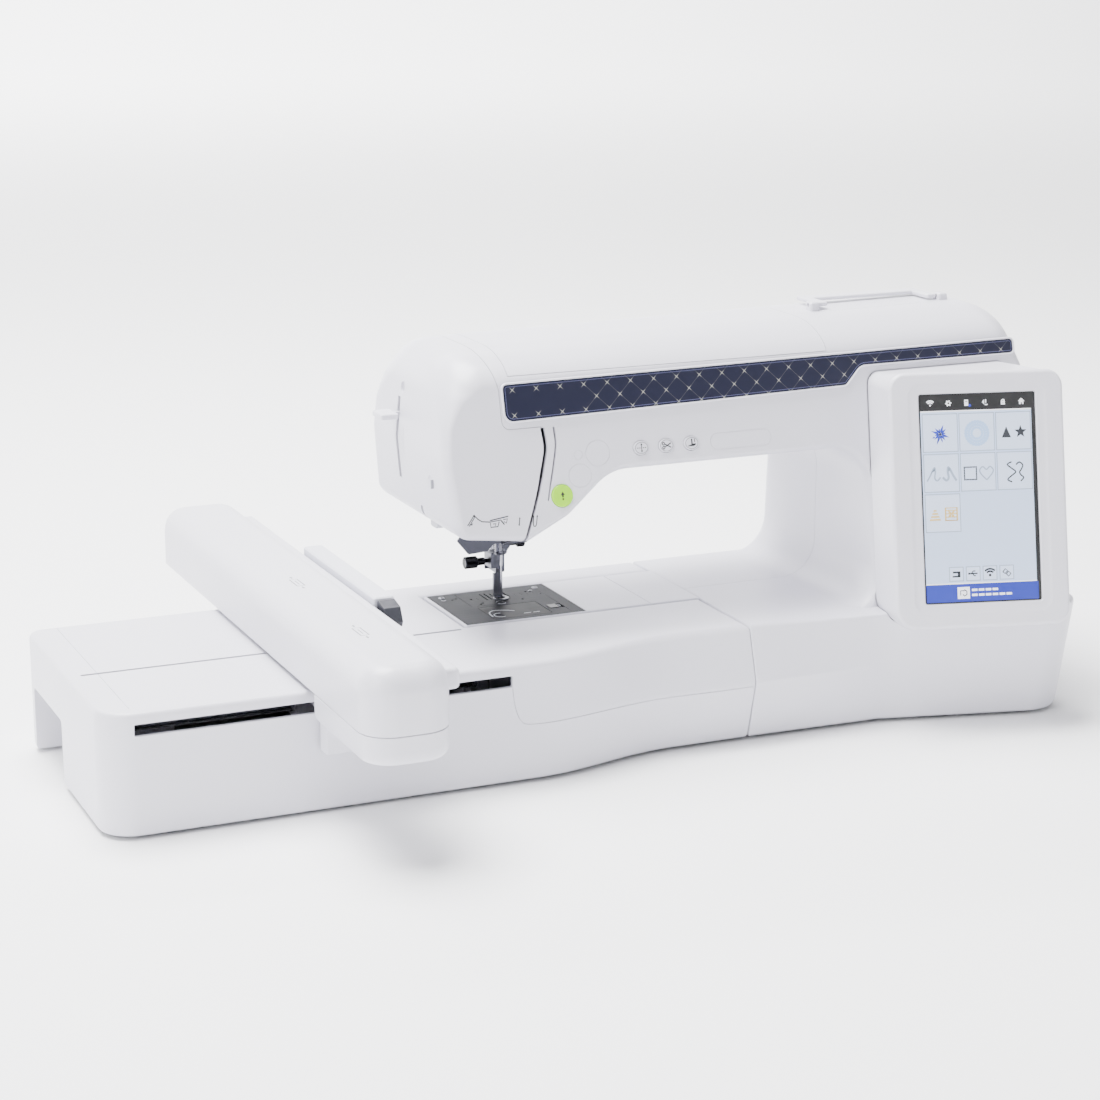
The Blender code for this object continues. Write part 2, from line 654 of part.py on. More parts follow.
# ---------------------------------------------------------------- hook and bobbin
hook = turned("rotary_hook", "Z", (NEEDLE_X, HOOK_Y), [
    (0.0350, GEAR_RADIUS + 0.0037), (0.0440, GEAR_RADIUS + 0.0037), (0.0442, 0.006),
    (HOOK_CUP_Z - 0.0002, 0.006), (HOOK_CUP_Z, HOOK_RADIUS - 0.002),
    (HOOK_CUP_Z + 0.0030, HOOK_RADIUS), (BED_TOP - 0.009, HOOK_RADIUS)], 28)
cut(hook, rod("cup", "Z", (NEEDLE_X, HOOK_Y), HOOK_RADIUS - 0.0018, HOOK_CUP_Z + 0.0028, BED_TOP, 28))
finish(hook, STEEL, 0.3, 1.0, pivot=(NEEDLE_X, HOOK_Y, HOOK_CUP_Z))
case_radius = HOOK_RADIUS - 0.0018 - LOOSE
case_low = HOOK_CUP_Z + 0.0028 + CLEARANCE
case = turned("bobbin_case", "Z", (NEEDLE_X, HOOK_Y), [
    (case_low, case_radius - 0.001), (case_low + 0.0015, case_radius),
    (BED_TOP - 0.0045, case_radius)])
cut(case, rod("well", "Z", (NEEDLE_X, HOOK_Y), 0.0120, case_low + 0.0030, BED_TOP, 28))
finish(case, (0.05, 0.05, 0.055), 0.45)
bobbin_low = case_low + 0.0030 + CLEARANCE
bobbin = turned("bobbin", "Z", (NEEDLE_X, HOOK_Y), [
    (bobbin_low, 0.0102), (bobbin_low + 0.0012, 0.0102), (bobbin_low + 0.0014, 0.0075),
    (bobbin_low + 0.0100, 0.0075), (bobbin_low + 0.0102, 0.0102), (bobbin_low + 0.0114, 0.0102)],
    24)
cut(bobbin, rod("core", "Z", (NEEDLE_X, HOOK_Y), 0.0030, HOOK_CUP_Z, BED_TOP, 16))
finish(bobbin, (0.75, 0.78, 0.80), 0.15, pivot=(NEEDLE_X, HOOK_Y, bobbin_low))
dog_low = BED_TOP - 0.022
feed_dog = join(box("feed_dog", (NEEDLE_X - 0.011, NEEDLE_Y + 0.0045, dog_low),
                    (NEEDLE_X + 0.011, NEEDLE_Y + 0.0230, dog_low + 0.006)),
                box("teeth", (NEEDLE_X - 0.008, NEEDLE_Y + 0.0060, dog_low + 0.005),
                    (NEEDLE_X + 0.008, NEEDLE_Y + 0.0210, dog_low + 0.012)))
finish(feed_dog, STEEL, 0.4, 1.0, pivot=(NEEDLE_X, NEEDLE_Y + 0.0135, dog_low))

# ---------------------------------------------------------------- needle and presser foot
needle_bar = rod("needle_bar", "Z", (NEEDLE_X, NEEDLE_Y), BAR_RADIUS, CLAMP_BOTTOM + 0.0145,
                 BAR_GUIDE_TOP + NEEDLE_STROKE)
finish(needle_bar, STEEL, 0.25, 1.0, pivot=(NEEDLE_X, NEEDLE_Y, CLAMP_BOTTOM))
clamp = turned("needle_clamp", "Z", (NEEDLE_X, NEEDLE_Y), [
    (CLAMP_BOTTOM, 0.0036), (CLAMP_BOTTOM + 0.0015, 0.0048), (CLAMP_BOTTOM + 0.0125, 0.0048),
    (CLAMP_BOTTOM + 0.0141, 0.0040)])
cut(clamp, rod("bore", "Z", (NEEDLE_X, NEEDLE_Y), 0.0010, CLAMP_BOTTOM - 0.01,
               CLAMP_BOTTOM + 0.006, 12))
join(clamp, rod("screw", "X", (NEEDLE_Y, CLAMP_BOTTOM + 0.007), 0.0014, NEEDLE_X + 0.003,
                NEEDLE_X + 0.014, 12),
     rod("screw_head", "X", (NEEDLE_Y, CLAMP_BOTTOM + 0.007), 0.0030, NEEDLE_X + 0.0125,
         NEEDLE_X + 0.0185, 16))
finish(clamp, (0.25, 0.25, 0.27), 0.3, 1.0, pivot=(NEEDLE_X, NEEDLE_Y, CLAMP_BOTTOM))
needle = turned("needle", "Z", (NEEDLE_X, NEEDLE_Y), [
    (CLAMP_BOTTOM - 0.0320, 0.0001), (CLAMP_BOTTOM - 0.0285, 0.00042),
    (CLAMP_BOTTOM - 0.0090, 0.00045), (CLAMP_BOTTOM - 0.0075, 0.0006),
    (CLAMP_BOTTOM + 0.0055, 0.0006)], 12)
finish(needle, STEEL, 0.2, 1.0, pivot=(NEEDLE_X, NEEDLE_Y, CLAMP_BOTTOM))

presser_bar = rod("presser_bar", "Z", (NEEDLE_X, PRESSER_Y), 0.0030, FOOT_TOP + CLEARANCE, 0.2690)
finish(presser_bar, STEEL, 0.25, 1.0, pivot=(NEEDLE_X, PRESSER_Y, FOOT_TOP))
embroidery_foot = box("embroidery_foot", (NEEDLE_X - 0.0055, NEEDLE_Y + 0.0058, FOOT_TOP - 0.0155),
                      (NEEDLE_X + 0.0055, PRESSER_Y + 0.0050, FOOT_TOP), 0.0008)
join(embroidery_foot,
     box("leg", (NEEDLE_X - 0.0035, NEEDLE_Y + 0.0058, BED_TOP + 0.0012),
         (NEEDLE_X + 0.0035, NEEDLE_Y + 0.0085, FOOT_TOP - 0.0120)),
     box("toe", (NEEDLE_X - 0.0035, NEEDLE_Y + 0.0040, BED_TOP + 0.0008),
         (NEEDLE_X + 0.0035, NEEDLE_Y + 0.0083, BED_TOP + 0.0026)),
     rod("ring", "Z", (NEEDLE_X, NEEDLE_Y), 0.0062, BED_TOP + 0.0008, BED_TOP + 0.0026, 24))
cut(embroidery_foot,
    rod("eye", "Z", (NEEDLE_X, NEEDLE_Y), 0.0030, *through, 20),
    rod("screw_hole", "X", (PRESSER_Y, FOOT_TOP - 0.0080), 0.0020, NEEDLE_X - 0.01, NEEDLE_X, 12))
finish(embroidery_foot, (0.40, 0.40, 0.42), 0.3, 1.0, pivot=(NEEDLE_X, PRESSER_Y, FOOT_TOP))
screw = turned("foot_screw", "X", (PRESSER_Y, FOOT_TOP - 0.0080), [
    (NEEDLE_X - 0.0235, 0.0030), (NEEDLE_X - 0.0225, 0.0046), (NEEDLE_X - 0.0135, 0.0046),
    (NEEDLE_X - 0.0125, 0.0030), (NEEDLE_X - 0.0075, 0.0030), (NEEDLE_X - 0.0073, 0.0016),
    (NEEDLE_X - 0.0012, 0.0016)], 20)
finish(screw, (0.12, 0.12, 0.13), 0.35, 0.8, pivot=(NEEDLE_X - 0.01, PRESSER_Y, FOOT_TOP - 0.0080))

bracket = box("threader_bracket", (NEEDLE_X - 0.030, 0.100, HEAD_BOTTOM - 0.0055),
              (NEEDLE_X + 0.014, PRESSER_Y + 0.008, HEAD_BOTTOM - 0.0008), 0.001)
cut(bracket, rod("hole", "Z", (NEEDLE_X, NEEDLE_Y), 0.0058, 0.14, 0.17, 20),
    rod("hole", "Z", (NEEDLE_X, PRESSER_Y), 0.0040, 0.14, 0.17, 20))
finish(bracket, (0.20, 0.20, 0.22), 0.35, 0.8)

threader = join(box("threader_lever", (HEAD_LEFT - 0.0150, THREADER_Y - 0.010, 0.2350),
                    (HEAD_LEFT - 0.0018, THREADER_Y + 0.010, 0.2392), 0.0012),
                box("stem", (HEAD_LEFT - 0.0040, THREADER_Y - 0.0015, 0.2355),
                    (HEAD_LEFT + 0.0160, THREADER_Y + 0.0015, 0.2387)))
finish(threader, WHITE, 0.35, pivot=(HEAD_LEFT, THREADER_Y, 0.2371))

LEVER_PIVOT = (PRESSER_Y + 0.0295, 0.2000)
lever_profile = [(LEVER_PIVOT[0] - 0.005, LEVER_PIVOT[1] + 0.002),
                 (LEVER_PIVOT[0] + 0.001, LEVER_PIVOT[1] - 0.009),
                 (LEVER_PIVOT[0] + 0.021, LEVER_PIVOT[1] - 0.043),
                 (LEVER_PIVOT[0] + 0.027, LEVER_PIVOT[1] - 0.041),
                 (LEVER_PIVOT[0] + 0.008, LEVER_PIVOT[1] - 0.004),
                 (LEVER_PIVOT[0] + 0.003, LEVER_PIVOT[1] + 0.005)]
presser_lever = prism("presser_lever", lever_profile, "X", NEEDLE_X - 0.003, NEEDLE_X + 0.003)
cut(presser_lever, rod("bore", "X", LEVER_PIVOT, 0.0018 + CLEARANCE, NEEDLE_X - 0.01,
                       NEEDLE_X + 0.01, 16))
finish(presser_lever, (0.22, 0.22, 0.24), 0.4, pivot=(NEEDLE_X, *LEVER_PIVOT))

TAKE_UP_PIVOT = (0.118, 0.2680)
TAKE_UP_X = NEEDLE_X + 0.0215
take_up = prism("take_up_lever", [(0.122, 0.2645), (0.122, 0.2715), (0.114, 0.2715),
                                  (0.072, 0.2610), (0.066, 0.2570), (0.068, 0.2545),
                                  (0.076, 0.2570), (0.112, 0.2640)], "X",
                TAKE_UP_X - 0.001, TAKE_UP_X + 0.001)
cut(take_up, rod("bore", "X", TAKE_UP_PIVOT, 0.0018 + CLEARANCE, TAKE_UP_X - 0.01,
                 TAKE_UP_X + 0.01, 16),
    rod("eye", "X", (0.0705, 0.2580), 0.0012, TAKE_UP_X - 0.01, TAKE_UP_X + 0.01, 12))
finish(take_up, STEEL, 0.25, 1.0, pivot=(TAKE_UP_X, *TAKE_UP_PIVOT))

# ---------------------------------------------------------------- drive
CRANK_X = NEEDLE_X + 0.0120
upper_shaft = turned("upper_shaft", "X", (NEEDLE_Y, UPPER_SHAFT_Z), [
    (CRANK_X, 0.0180), (CRANK_X + 0.005, 0.0180), (CRANK_X + 0.0052, SHAFT_RADIUS),
    (HANDWHEEL_X + 0.012, SHAFT_RADIUS)])
finish(upper_shaft, STEEL, 0.3, 1.0, pivot=(CRANK_X, NEEDLE_Y, UPPER_SHAFT_Z))


def pulley(name, centre, radius):
    half = BELT_WIDTH / 2 + CLEARANCE
    wheel = turned(name, "X", centre, [
        (BELT_X - half - 0.0015, radius + 0.0025), (BELT_X - half, radius + 0.0025),
        (BELT_X - half + 0.0001, radius), (BELT_X + half - 0.0001, radius),
        (BELT_X + half, radius + 0.0025), (BELT_X + half + 0.0015, radius + 0.0025)])
    cut(wheel, rod("bore", "X", centre, SHAFT_RADIUS + CLEARANCE, BELT_X - 0.02, BELT_X + 0.02, 20))
    return finish(wheel, GREY, 0.5, pivot=(BELT_X, *centre))


UPPER_CENTRE = (NEEDLE_Y, UPPER_SHAFT_Z)
LOWER_CENTRE = (LOWER_SHAFT_Y, LOWER_SHAFT_Z)
pulley("upper_pulley", UPPER_CENTRE, PULLEY_RADIUS)
lower_shaft = turned("lower_shaft", "X", LOWER_CENTRE, [
    (NEEDLE_X - 0.012, SHAFT_RADIUS), (NEEDLE_X - 0.0052, SHAFT_RADIUS),
    (NEEDLE_X - 0.0050, GEAR_RADIUS), (NEEDLE_X + 0.0050, GEAR_RADIUS),
    (NEEDLE_X + 0.0052, SHAFT_RADIUS), (BELT_X - 0.0065, SHAFT_RADIUS),
    (BELT_X - 0.0063, PULLEY_RADIUS + 0.0025), (BELT_X - 0.0050, PULLEY_RADIUS + 0.0025),
    (BELT_X - 0.0049, PULLEY_RADIUS), (BELT_X + 0.0049, PULLEY_RADIUS),
    (BELT_X + 0.0050, PULLEY_RADIUS + 0.0025), (BELT_X + 0.0063, PULLEY_RADIUS + 0.0025),
    (BELT_X + 0.0065, SHAFT_RADIUS), (BELT_X + 0.012, SHAFT_RADIUS)])
finish(lower_shaft, STEEL, 0.3, 1.0, pivot=(NEEDLE_X, *LOWER_CENTRE))
MOTOR_END = BELT_X - 0.020
motor = turned("main_motor", "X", (MOTOR_Y, MOTOR_Z), [
    (MOTOR_END - 0.062, 0.018), (MOTOR_END - 0.058, 0.026), (MOTOR_END - 0.004, 0.026),
    (MOTOR_END, 0.018)])
cut(motor, rod("bore", "X", (MOTOR_Y, MOTOR_Z), 0.003 + CLEARANCE, MOTOR_END - 0.020,
               MOTOR_END + 0.01))
finish(motor, (0.10, 0.10, 0.11), 0.4, 0.5)
rotor = turned("motor_rotor", "X", (MOTOR_Y, MOTOR_Z), [
    (MOTOR_END - 0.019, 0.003), (BELT_X - 0.006, 0.003), (BELT_X - 0.0058, MOTOR_PULLEY_RADIUS),
    (BELT_X + 0.006, MOTOR_PULLEY_RADIUS)])
finish(rotor, STEEL, 0.3, 1.0, pivot=(BELT_X, MOTOR_Y, MOTOR_Z))


def belt_loop(grow, steps=56):
    """Outline of a taut belt round the three pulleys."""
    wheels = ((UPPER_CENTRE, PULLEY_RADIUS), (LOWER_CENTRE, PULLEY_RADIUS),
              ((MOTOR_Y, MOTOR_Z), MOTOR_PULLEY_RADIUS))
    outline = []
    for step in range(steps):
        angle = 2 * math.pi * step / steps
        direction = Vector((math.cos(angle), math.sin(angle)))
        centre, radius = max(wheels, key=lambda wheel: Vector(wheel[0]).dot(direction) + wheel[1])
        outline.append(Vector(centre) + direction * (radius + grow))
    return outline


belt_low = BELT_X - BELT_WIDTH / 2
belt_high = BELT_X + BELT_WIDTH / 2
belt = cut(prism("timing_belt", belt_loop(BELT_GAP + 0.0014), "X", belt_low, belt_high),
           prism("inside", belt_loop(BELT_GAP), "X", belt_low - 0.01, belt_high + 0.01))
finish(belt, DARK, 0.8)
handwheel = turned("handwheel", "X", UPPER_CENTRE, [
    (HANDWHEEL_X, HANDWHEEL_RADIUS - 0.003), (HANDWHEEL_X + 0.002, HANDWHEEL_RADIUS),
    (HANDWHEEL_X + 0.012, HANDWHEEL_RADIUS),
    (HANDWHEEL_X + HANDWHEEL_DEPTH, HANDWHEEL_RADIUS - 0.004)], 30)
cut(handwheel, rod("bore", "X", UPPER_CENTRE, SHAFT_RADIUS + CLEARANCE, HANDWHEEL_X - 0.01,
                   HANDWHEEL_X + 0.0125, 20))
for index in range(10):
    angle = 2 * math.pi * index / 10
    notch = (UPPER_CENTRE[0] + (HANDWHEEL_RADIUS + 0.002) * math.cos(angle),
             UPPER_CENTRE[1] + (HANDWHEEL_RADIUS + 0.002) * math.sin(angle))
    cut(handwheel, rod("notch", "X", notch, 0.0040, HANDWHEEL_X - 0.01, HANDWHEEL_X + 0.03, 12))
finish(handwheel, WHITE, 0.35, pivot=(HANDWHEEL_X, *UPPER_CENTRE))

# cast frame: base beam, column, arm and head plate with bearing lugs
chassis = box("chassis", (0.020, FRAME_Y[0], 0.0100), (0.245, 0.186, 0.0240))
join(chassis,
     box("column", (0.150, FRAME_Y[0], 0.0200), (0.200, FRAME_Y[1], 0.2560)),
     box("arm", (NEEDLE_X - 0.013, FRAME_Y[0], 0.2150), (0.2150, FRAME_Y[1], 0.2560)),
     box("head", (NEEDLE_X - 0.013, FRAME_Y[0], 0.1860), (NEEDLE_X + 0.011, FRAME_Y[1], 0.2740)),
     box("upper_guide", (NEEDLE_X - 0.008, 0.128, BAR_GUIDE_TOP - 0.0070),
         (NEEDLE_X + 0.008, 0.162, BAR_GUIDE_TOP - 0.0010)),
     box("lower_guide", (NEEDLE_X - 0.008, 0.128, 0.1880), (NEEDLE_X + 0.008, 0.162, 0.1960)),
     box("left_lug", (-0.1040, 0.126, 0.2340), (-0.0960, 0.162, 0.2560)),
     box("right_lug", (0.2030, 0.126, 0.2340), (0.2110, 0.162, 0.2560)),
     box("low_lug", (0.0260, 0.126, 0.0120), (0.0340, 0.162, 0.0560)),
     box("low_lug", (0.2030, 0.126, 0.0120), (0.2110, 0.162, 0.0560)),
     box("take_up_lug", (TAKE_UP_X + 0.0016, 0.112, 0.2620), (TAKE_UP_X + 0.0076, 0.162, 0.2740)),
     box("take_up_web", (NEEDLE_X + 0.008, FRAME_Y[0], 0.2500), (TAKE_UP_X + 0.0076, FRAME_Y[1],
                                                               0.2740)),
     rod("take_up_pin", "X", TAKE_UP_PIVOT, 0.0018, TAKE_UP_X - 0.003, TAKE_UP_X + 0.004, 12),
     box("lever_lug", (NEEDLE_X + 0.0034, 0.168, 0.1930), (NEEDLE_X + 0.0064, 0.186, 0.2070)),
     rod("lever_pin", "X", LEVER_PIVOT, 0.0018, NEEDLE_X - 0.0028, NEEDLE_X + 0.005, 12))
cut(chassis,
    rod("bearing", "X", UPPER_CENTRE, SHAFT_RADIUS + CLEARANCE, -0.12, 0.22),
    rod("bearing", "X", LOWER_CENTRE, SHAFT_RADIUS + CLEARANCE, 0.01, 0.22),
    rod("guide", "Z", (NEEDLE_X, NEEDLE_Y), BAR_RADIUS + CLEARANCE, 0.18, 0.28),
    rod("guide", "Z", (NEEDLE_X, PRESSER_Y), 0.0030 + CLEARANCE, 0.18, 0.28))
finish(chassis, (0.35, 0.35, 0.36), 0.55, 0.7)

# thread tray under the lid, with its spool pin
tray = join(box("spool_tray", (-0.0920, 0.060, 0.2590), (0.0850, 0.156, 0.2614)),
            box("post", (0.0700, 0.094, 0.2610), (0.0760, 0.106, 0.2780)))
cut(tray, rod("bore", "X", SPOOL_AXIS, 0.0025 + CLEARANCE, 0.060, 0.080, 16))
finish(tray, WHITE, 0.45)
pin = turned("spool_pin", "X", SPOOL_AXIS, [(-0.0100, 0.0018), (-0.0085, 0.0025), (0.0640, 0.0025),
                                           (0.0642, 0.0105), (0.0660, 0.0105), (0.0662, 0.0025),
                                           (0.0740, 0.0025)], 20)
finish(pin, WHITE, 0.4, pivot=(0.065, *SPOOL_AXIS))

# power inlet and rocker switch in the right wall
INLET_X = 0.2640
inlet = box("power_inlet", (0.2400, INLET_Y[0] + CLEARANCE, INLET_Z[0] + CLEARANCE),
            (INLET_X, INLET_Y[1] - CLEARANCE, INLET_Z[1] - CLEARANCE))
cut(inlet, box("socket", (0.2480, INLET_Y[0] + 0.0035, INLET_Z[0] + 0.0035),
               (0.28, INLET_Y[1] - 0.0035, INLET_Z[1] - 0.0035)))
finish(inlet, DARK, 0.5)
SWITCH_PIVOT = (0.2600, sum(INLET_Y) / 2, sum(SWITCH_Z) / 2)
half = (SWITCH_Z[1] - SWITCH_Z[0]) / 2 - 0.0008
rocker = [(SWITCH_PIVOT[0] - 0.006, SWITCH_PIVOT[2] - 0.004),
          (SWITCH_PIVOT[0] + 0.0045, SWITCH_PIVOT[2] - half + 0.0004),
          (SWITCH_PIVOT[0] + 0.0075, SWITCH_PIVOT[2] - half + 0.0014),
          (SWITCH_PIVOT[0] + 0.0055, SWITCH_PIVOT[2]),
          (SWITCH_PIVOT[0] + 0.0065, SWITCH_PIVOT[2] + half - 0.0010),
          (SWITCH_PIVOT[0] + 0.0045, SWITCH_PIVOT[2] + half - 0.0004),
          (SWITCH_PIVOT[0] - 0.006, SWITCH_PIVOT[2] + 0.004)]
finish(prism("power_switch", rocker, "Y", INLET_Y[0] + 0.0008, INLET_Y[1] - 0.0008), DARK, 0.45,
       pivot=SWITCH_PIVOT)

# ---------------------------------------------------------------- embroidery unit
NOTCH_X = FREE_ARM_LEFT - UNIT_WALL_GAP
NOTCH_FRONT = FREE_ARM_FRONT - UNIT_WALL_GAP
NOTCH_REAR = FREE_ARM_REAR + UNIT_WALL_GAP
UNIT_RIGHT = SEAM_X - UNIT_WALL_GAP


def unit_front(x, z):
    """Y of the unit's front, which meets the machine's front at the seam."""
    plan = UNIT_FRONT + (0.001 - UNIT_FRONT) * blend(-0.172, -0.060, x)
    ramp = (z - TABLE_GAP) / (CREASE_Z - TABLE_GAP)
    if z > CREASE_Z:
        ramp = (BED_TOP - z) / (BED_TOP - CREASE_Z)
    return plan - FRONT_BULGE * blend(-0.200, UNIT_RIGHT, x) * ramp


def unit_section(z, skin):
    corners = [(UNIT_LEFT, UNIT_FRONT, 0.024)]
    corners += [(x, unit_front(x, z), 0) for x in (-0.200, -0.170, -0.145, -0.120, -0.095, -0.070,
                                                   -0.045, -0.020)]
    corners += [(UNIT_RIGHT, unit_front(UNIT_RIGHT, z), 0), (UNIT_RIGHT, NOTCH_FRONT, 0),
                (NOTCH_X, NOTCH_FRONT, 0), (NOTCH_X, NOTCH_REAR, 0), (UNIT_RIGHT, NOTCH_REAR, 0),
                (UNIT_RIGHT, REAR_FACE, 0), (UNIT_LEFT, REAR_FACE, 0.012)]
    return inset(rounded(corners), skin)


def unit_solid(name, skin, levels):
    rings = []
    for level, edge in levels:
        section = unit_section(min(max(level, TABLE_GAP), BED_TOP), skin + edge)
        rings.append([lift(point, "Z", level) for point in section])
    return loft(name, rings)


unit_case = unit_solid("unit_case", 0, (
    (TABLE_GAP, 0.0015), (TABLE_GAP + 0.003, 0), (0.026, 0), (CREASE_Z, 0), (0.068, 0),
    (BED_TOP - 0.004, 0), (BED_TOP - 0.001, 0.0014), (BED_TOP, 0.0040)))
unit_hollow = unit_solid("unit_hollow", WALL, (
    (-0.002, 0), (0.026, 0), (CREASE_Z, 0), (0.068, 0), (BED_TOP - WALL, 0)))
tunnel = ((UNIT_LEFT - 0.01, TUNNEL_FRONT, -0.01), (TUNNEL_END, TUNNEL_REAR, TUNNEL_TOP))
cut(unit_hollow, box("tunnel_wall", (tunnel[0][0], tunnel[0][1] - WALL, tunnel[0][2]),
                     (tunnel[1][0] + WALL, tunnel[1][1] + WALL, tunnel[1][2] + WALL)))
LEVER_Y = (TUNNEL_FRONT + 0.032, TUNNEL_FRONT + 0.052)
cut(unit_case, unit_hollow, box("tunnel", *tunnel),
    box("slot", (SLOT_LEFT, UNIT_FRONT - 0.02, SLOT_BOTTOM), (SLOT_RIGHT, UNIT_FRONT + 0.006,
                                                           SLOT_TOP)),
    box("groove", (SLOT_LEFT - 0.012, GROOVE_Y - GROOVE_WIDTH / 2, BED_TOP - 0.01),
        (SLOT_RIGHT, GROOVE_Y + GROOVE_WIDTH / 2, BED_TOP + 0.01)),
    box("lever_hole", (TUNNEL_END - 0.030, LEVER_Y[0] - 0.0005, TUNNEL_TOP - 0.01),
        (TUNNEL_END - 0.008, LEVER_Y[1] + 0.0005, TUNNEL_TOP + WALL + 0.004)))
finish(unit_case, WHITE, 0.35)

unit_plate = loft("unit_base_plate", [[lift(point, "Z", level) for point in
                                      unit_section(TABLE_GAP + 0.003, WALL + LOOSE)]
                                     for level in (TABLE_GAP + 0.0002, TABLE_GAP + 0.0028)])
cut(unit_plate, box("tunnel", (tunnel[0][0], tunnel[0][1] - WALL - CLEARANCE, tunnel[0][2]),
                    (tunnel[1][0] + WALL + CLEARANCE, tunnel[1][1] + WALL + CLEARANCE, 0.1)))
RAIL_ENDS = (SLOT_LEFT - 0.012, SLOT_RIGHT + 0.002)
for x in RAIL_ENDS:
    join(unit_plate, box("post", (x - 0.004, RAIL_Y - 0.008, TABLE_GAP + 0.001),
                         (x + 0.004, RAIL_Y + 0.008, RAIL_Z + 0.009)))
cut(unit_plate, rod("bore", "X", (RAIL_Y, RAIL_Z), 0.004 + CLEARANCE, RAIL_ENDS[0] - 0.02,
                    RAIL_ENDS[1] + 0.02))
finish(unit_plate, GREY, 0.5)
finish(rod("x_rail", "X", (RAIL_Y, RAIL_Z), 0.004, RAIL_ENDS[0] - 0.003, RAIL_ENDS[1] + 0.003),
       STEEL, 0.25, 1.0)
x_motor = join(box("x_motor", (-0.2390, 0.100, TABLE_GAP + 0.0034), (-0.2040, 0.135, 0.0450), 0.002),
               rod("pinion", "Z", (-0.2215, 0.1175), 0.006, 0.044, 0.056, 20))
finish(x_motor, (0.10, 0.10, 0.11), 0.4, 0.5)
for name, (x, y) in UNIT_FEET.items():
    foot(name, x, y)

# release lever in the roof of the hand tunnel
RELEASE_PIVOT = (TUNNEL_END - 0.012, (LEVER_Y[0] + LEVER_Y[1]) / 2, TUNNEL_TOP + 0.0015)
release_profile = [(TUNNEL_END + along, TUNNEL_TOP + height) for along, height in (
    (-0.0265, 0.0005), (-0.0285, -0.0090), (-0.0250, -0.0100), (-0.0220, -0.0020),
    (-0.0100, -0.0005), (-0.0100, 0.0030))]
finish(prism("unit_release_lever", release_profile, "Y", *LEVER_Y), GREY, 0.45, pivot=RELEASE_PIVOT)

# ---------------------------------------------------------------- carriage
tongue_low = SLOT_BOTTOM + 0.0015
tongue_high = SLOT_TOP - 0.0015
bracket_x = (CARRIAGE_LEFT + 0.008, CARRIAGE_LEFT + 0.052)
BLOCK_FRONT = UNIT_FRONT - 0.0165
BLOCK_REAR = UNIT_FRONT - 0.0030
carriage_bracket = box("carriage_bracket", (bracket_x[0], BLOCK_FRONT + 0.004, tongue_low),
                       (bracket_x[1], GROOVE_Y + 0.003, tongue_high))
join(carriage_bracket,
     box("block", (bracket_x[0], BLOCK_FRONT, 0.0470), (bracket_x[0] + 0.022, BLOCK_REAR,
                                                       CARRIAGE_BOTTOM - CLEARANCE)),
     box("blade", (bracket_x[0], GROOVE_Y - 0.0010, tongue_high - 0.001),
         (bracket_x[1], GROOVE_Y + 0.0010, CARRIAGE_BOTTOM - CLEARANCE)),
     box("runner", (bracket_x[0] + 0.003, RAIL_Y - 0.009, RAIL_Z - 0.009),
         (bracket_x[1] - 0.003, RAIL_Y + 0.009, tongue_low + 0.001)))
cut(carriage_bracket, rod("bore", "X", (RAIL_Y, RAIL_Z), 0.004 + CLEARANCE, -0.40, -0.25))
finish(carriage_bracket, WHITE, 0.4, pivot=(CARRIAGE_LEFT + 0.030, RAIL_Y, RAIL_Z))

carriage_plan = rounded([(CARRIAGE_LEFT, CARRIAGE_FRONT, 0.022), (CARRIAGE_RIGHT, CARRIAGE_FRONT, 0.022),
                         (CARRIAGE_RIGHT, CARRIAGE_REAR, 0.018), (CARRIAGE_LEFT, CARRIAGE_REAR, 0.018)],
                        6)


def carriage_solid(name, skin, levels):
    return loft(name, [[lift(point, "Z", level) for point in inset(carriage_plan, skin + edge)]
                       for level, edge in levels])


cover = carriage_solid("carriage_cover", 0, (
    (CARRIAGE_BOTTOM, 0), (CARRIAGE_TOP - 0.018, 0), (CARRIAGE_TOP - 0.009, 0.0020),
    (CARRIAGE_TOP - 0.003, 0.0065), (CARRIAGE_TOP, 0.0150)))
join(cover, box("flange", (CARRIAGE_RIGHT - 0.004, CARRIAGE_FRONT + 0.034, FLANGE_BOTTOM),
                (FLANGE_RIGHT, CARRIAGE_REAR - 0.004, FLANGE_TOP), 0.003))
cut(cover,
    carriage_solid("inside", WALL, ((0.05, 0), (CARRIAGE_TOP - 0.018, 0),
                                    (CARRIAGE_TOP - 0.009, 0.0020),
                                    (CARRIAGE_TOP - WALL, 0.0065))),
    box("under_flange", (CARRIAGE_RIGHT - 0.010, CARRIAGE_FRONT + 0.040, 0.05),
        (FLANGE_RIGHT - 0.0025, CARRIAGE_REAR - 0.012, FLANGE_TOP - 0.0028)),
    box("holder_way", (CARRIAGE_RIGHT - 0.010, CARRIAGE_FRONT + 0.040, 0.05),
        (FLANGE_RIGHT + 0.01, CARRIAGE_REAR - 0.012, FLANGE_BOTTOM + 0.0005)))
CARRIAGE_PIVOT = (CARRIAGE_LEFT + 0.030, GROOVE_Y, CARRIAGE_BOTTOM)
finish(cover, WHITE, 0.35, pivot=CARRIAGE_PIVOT)

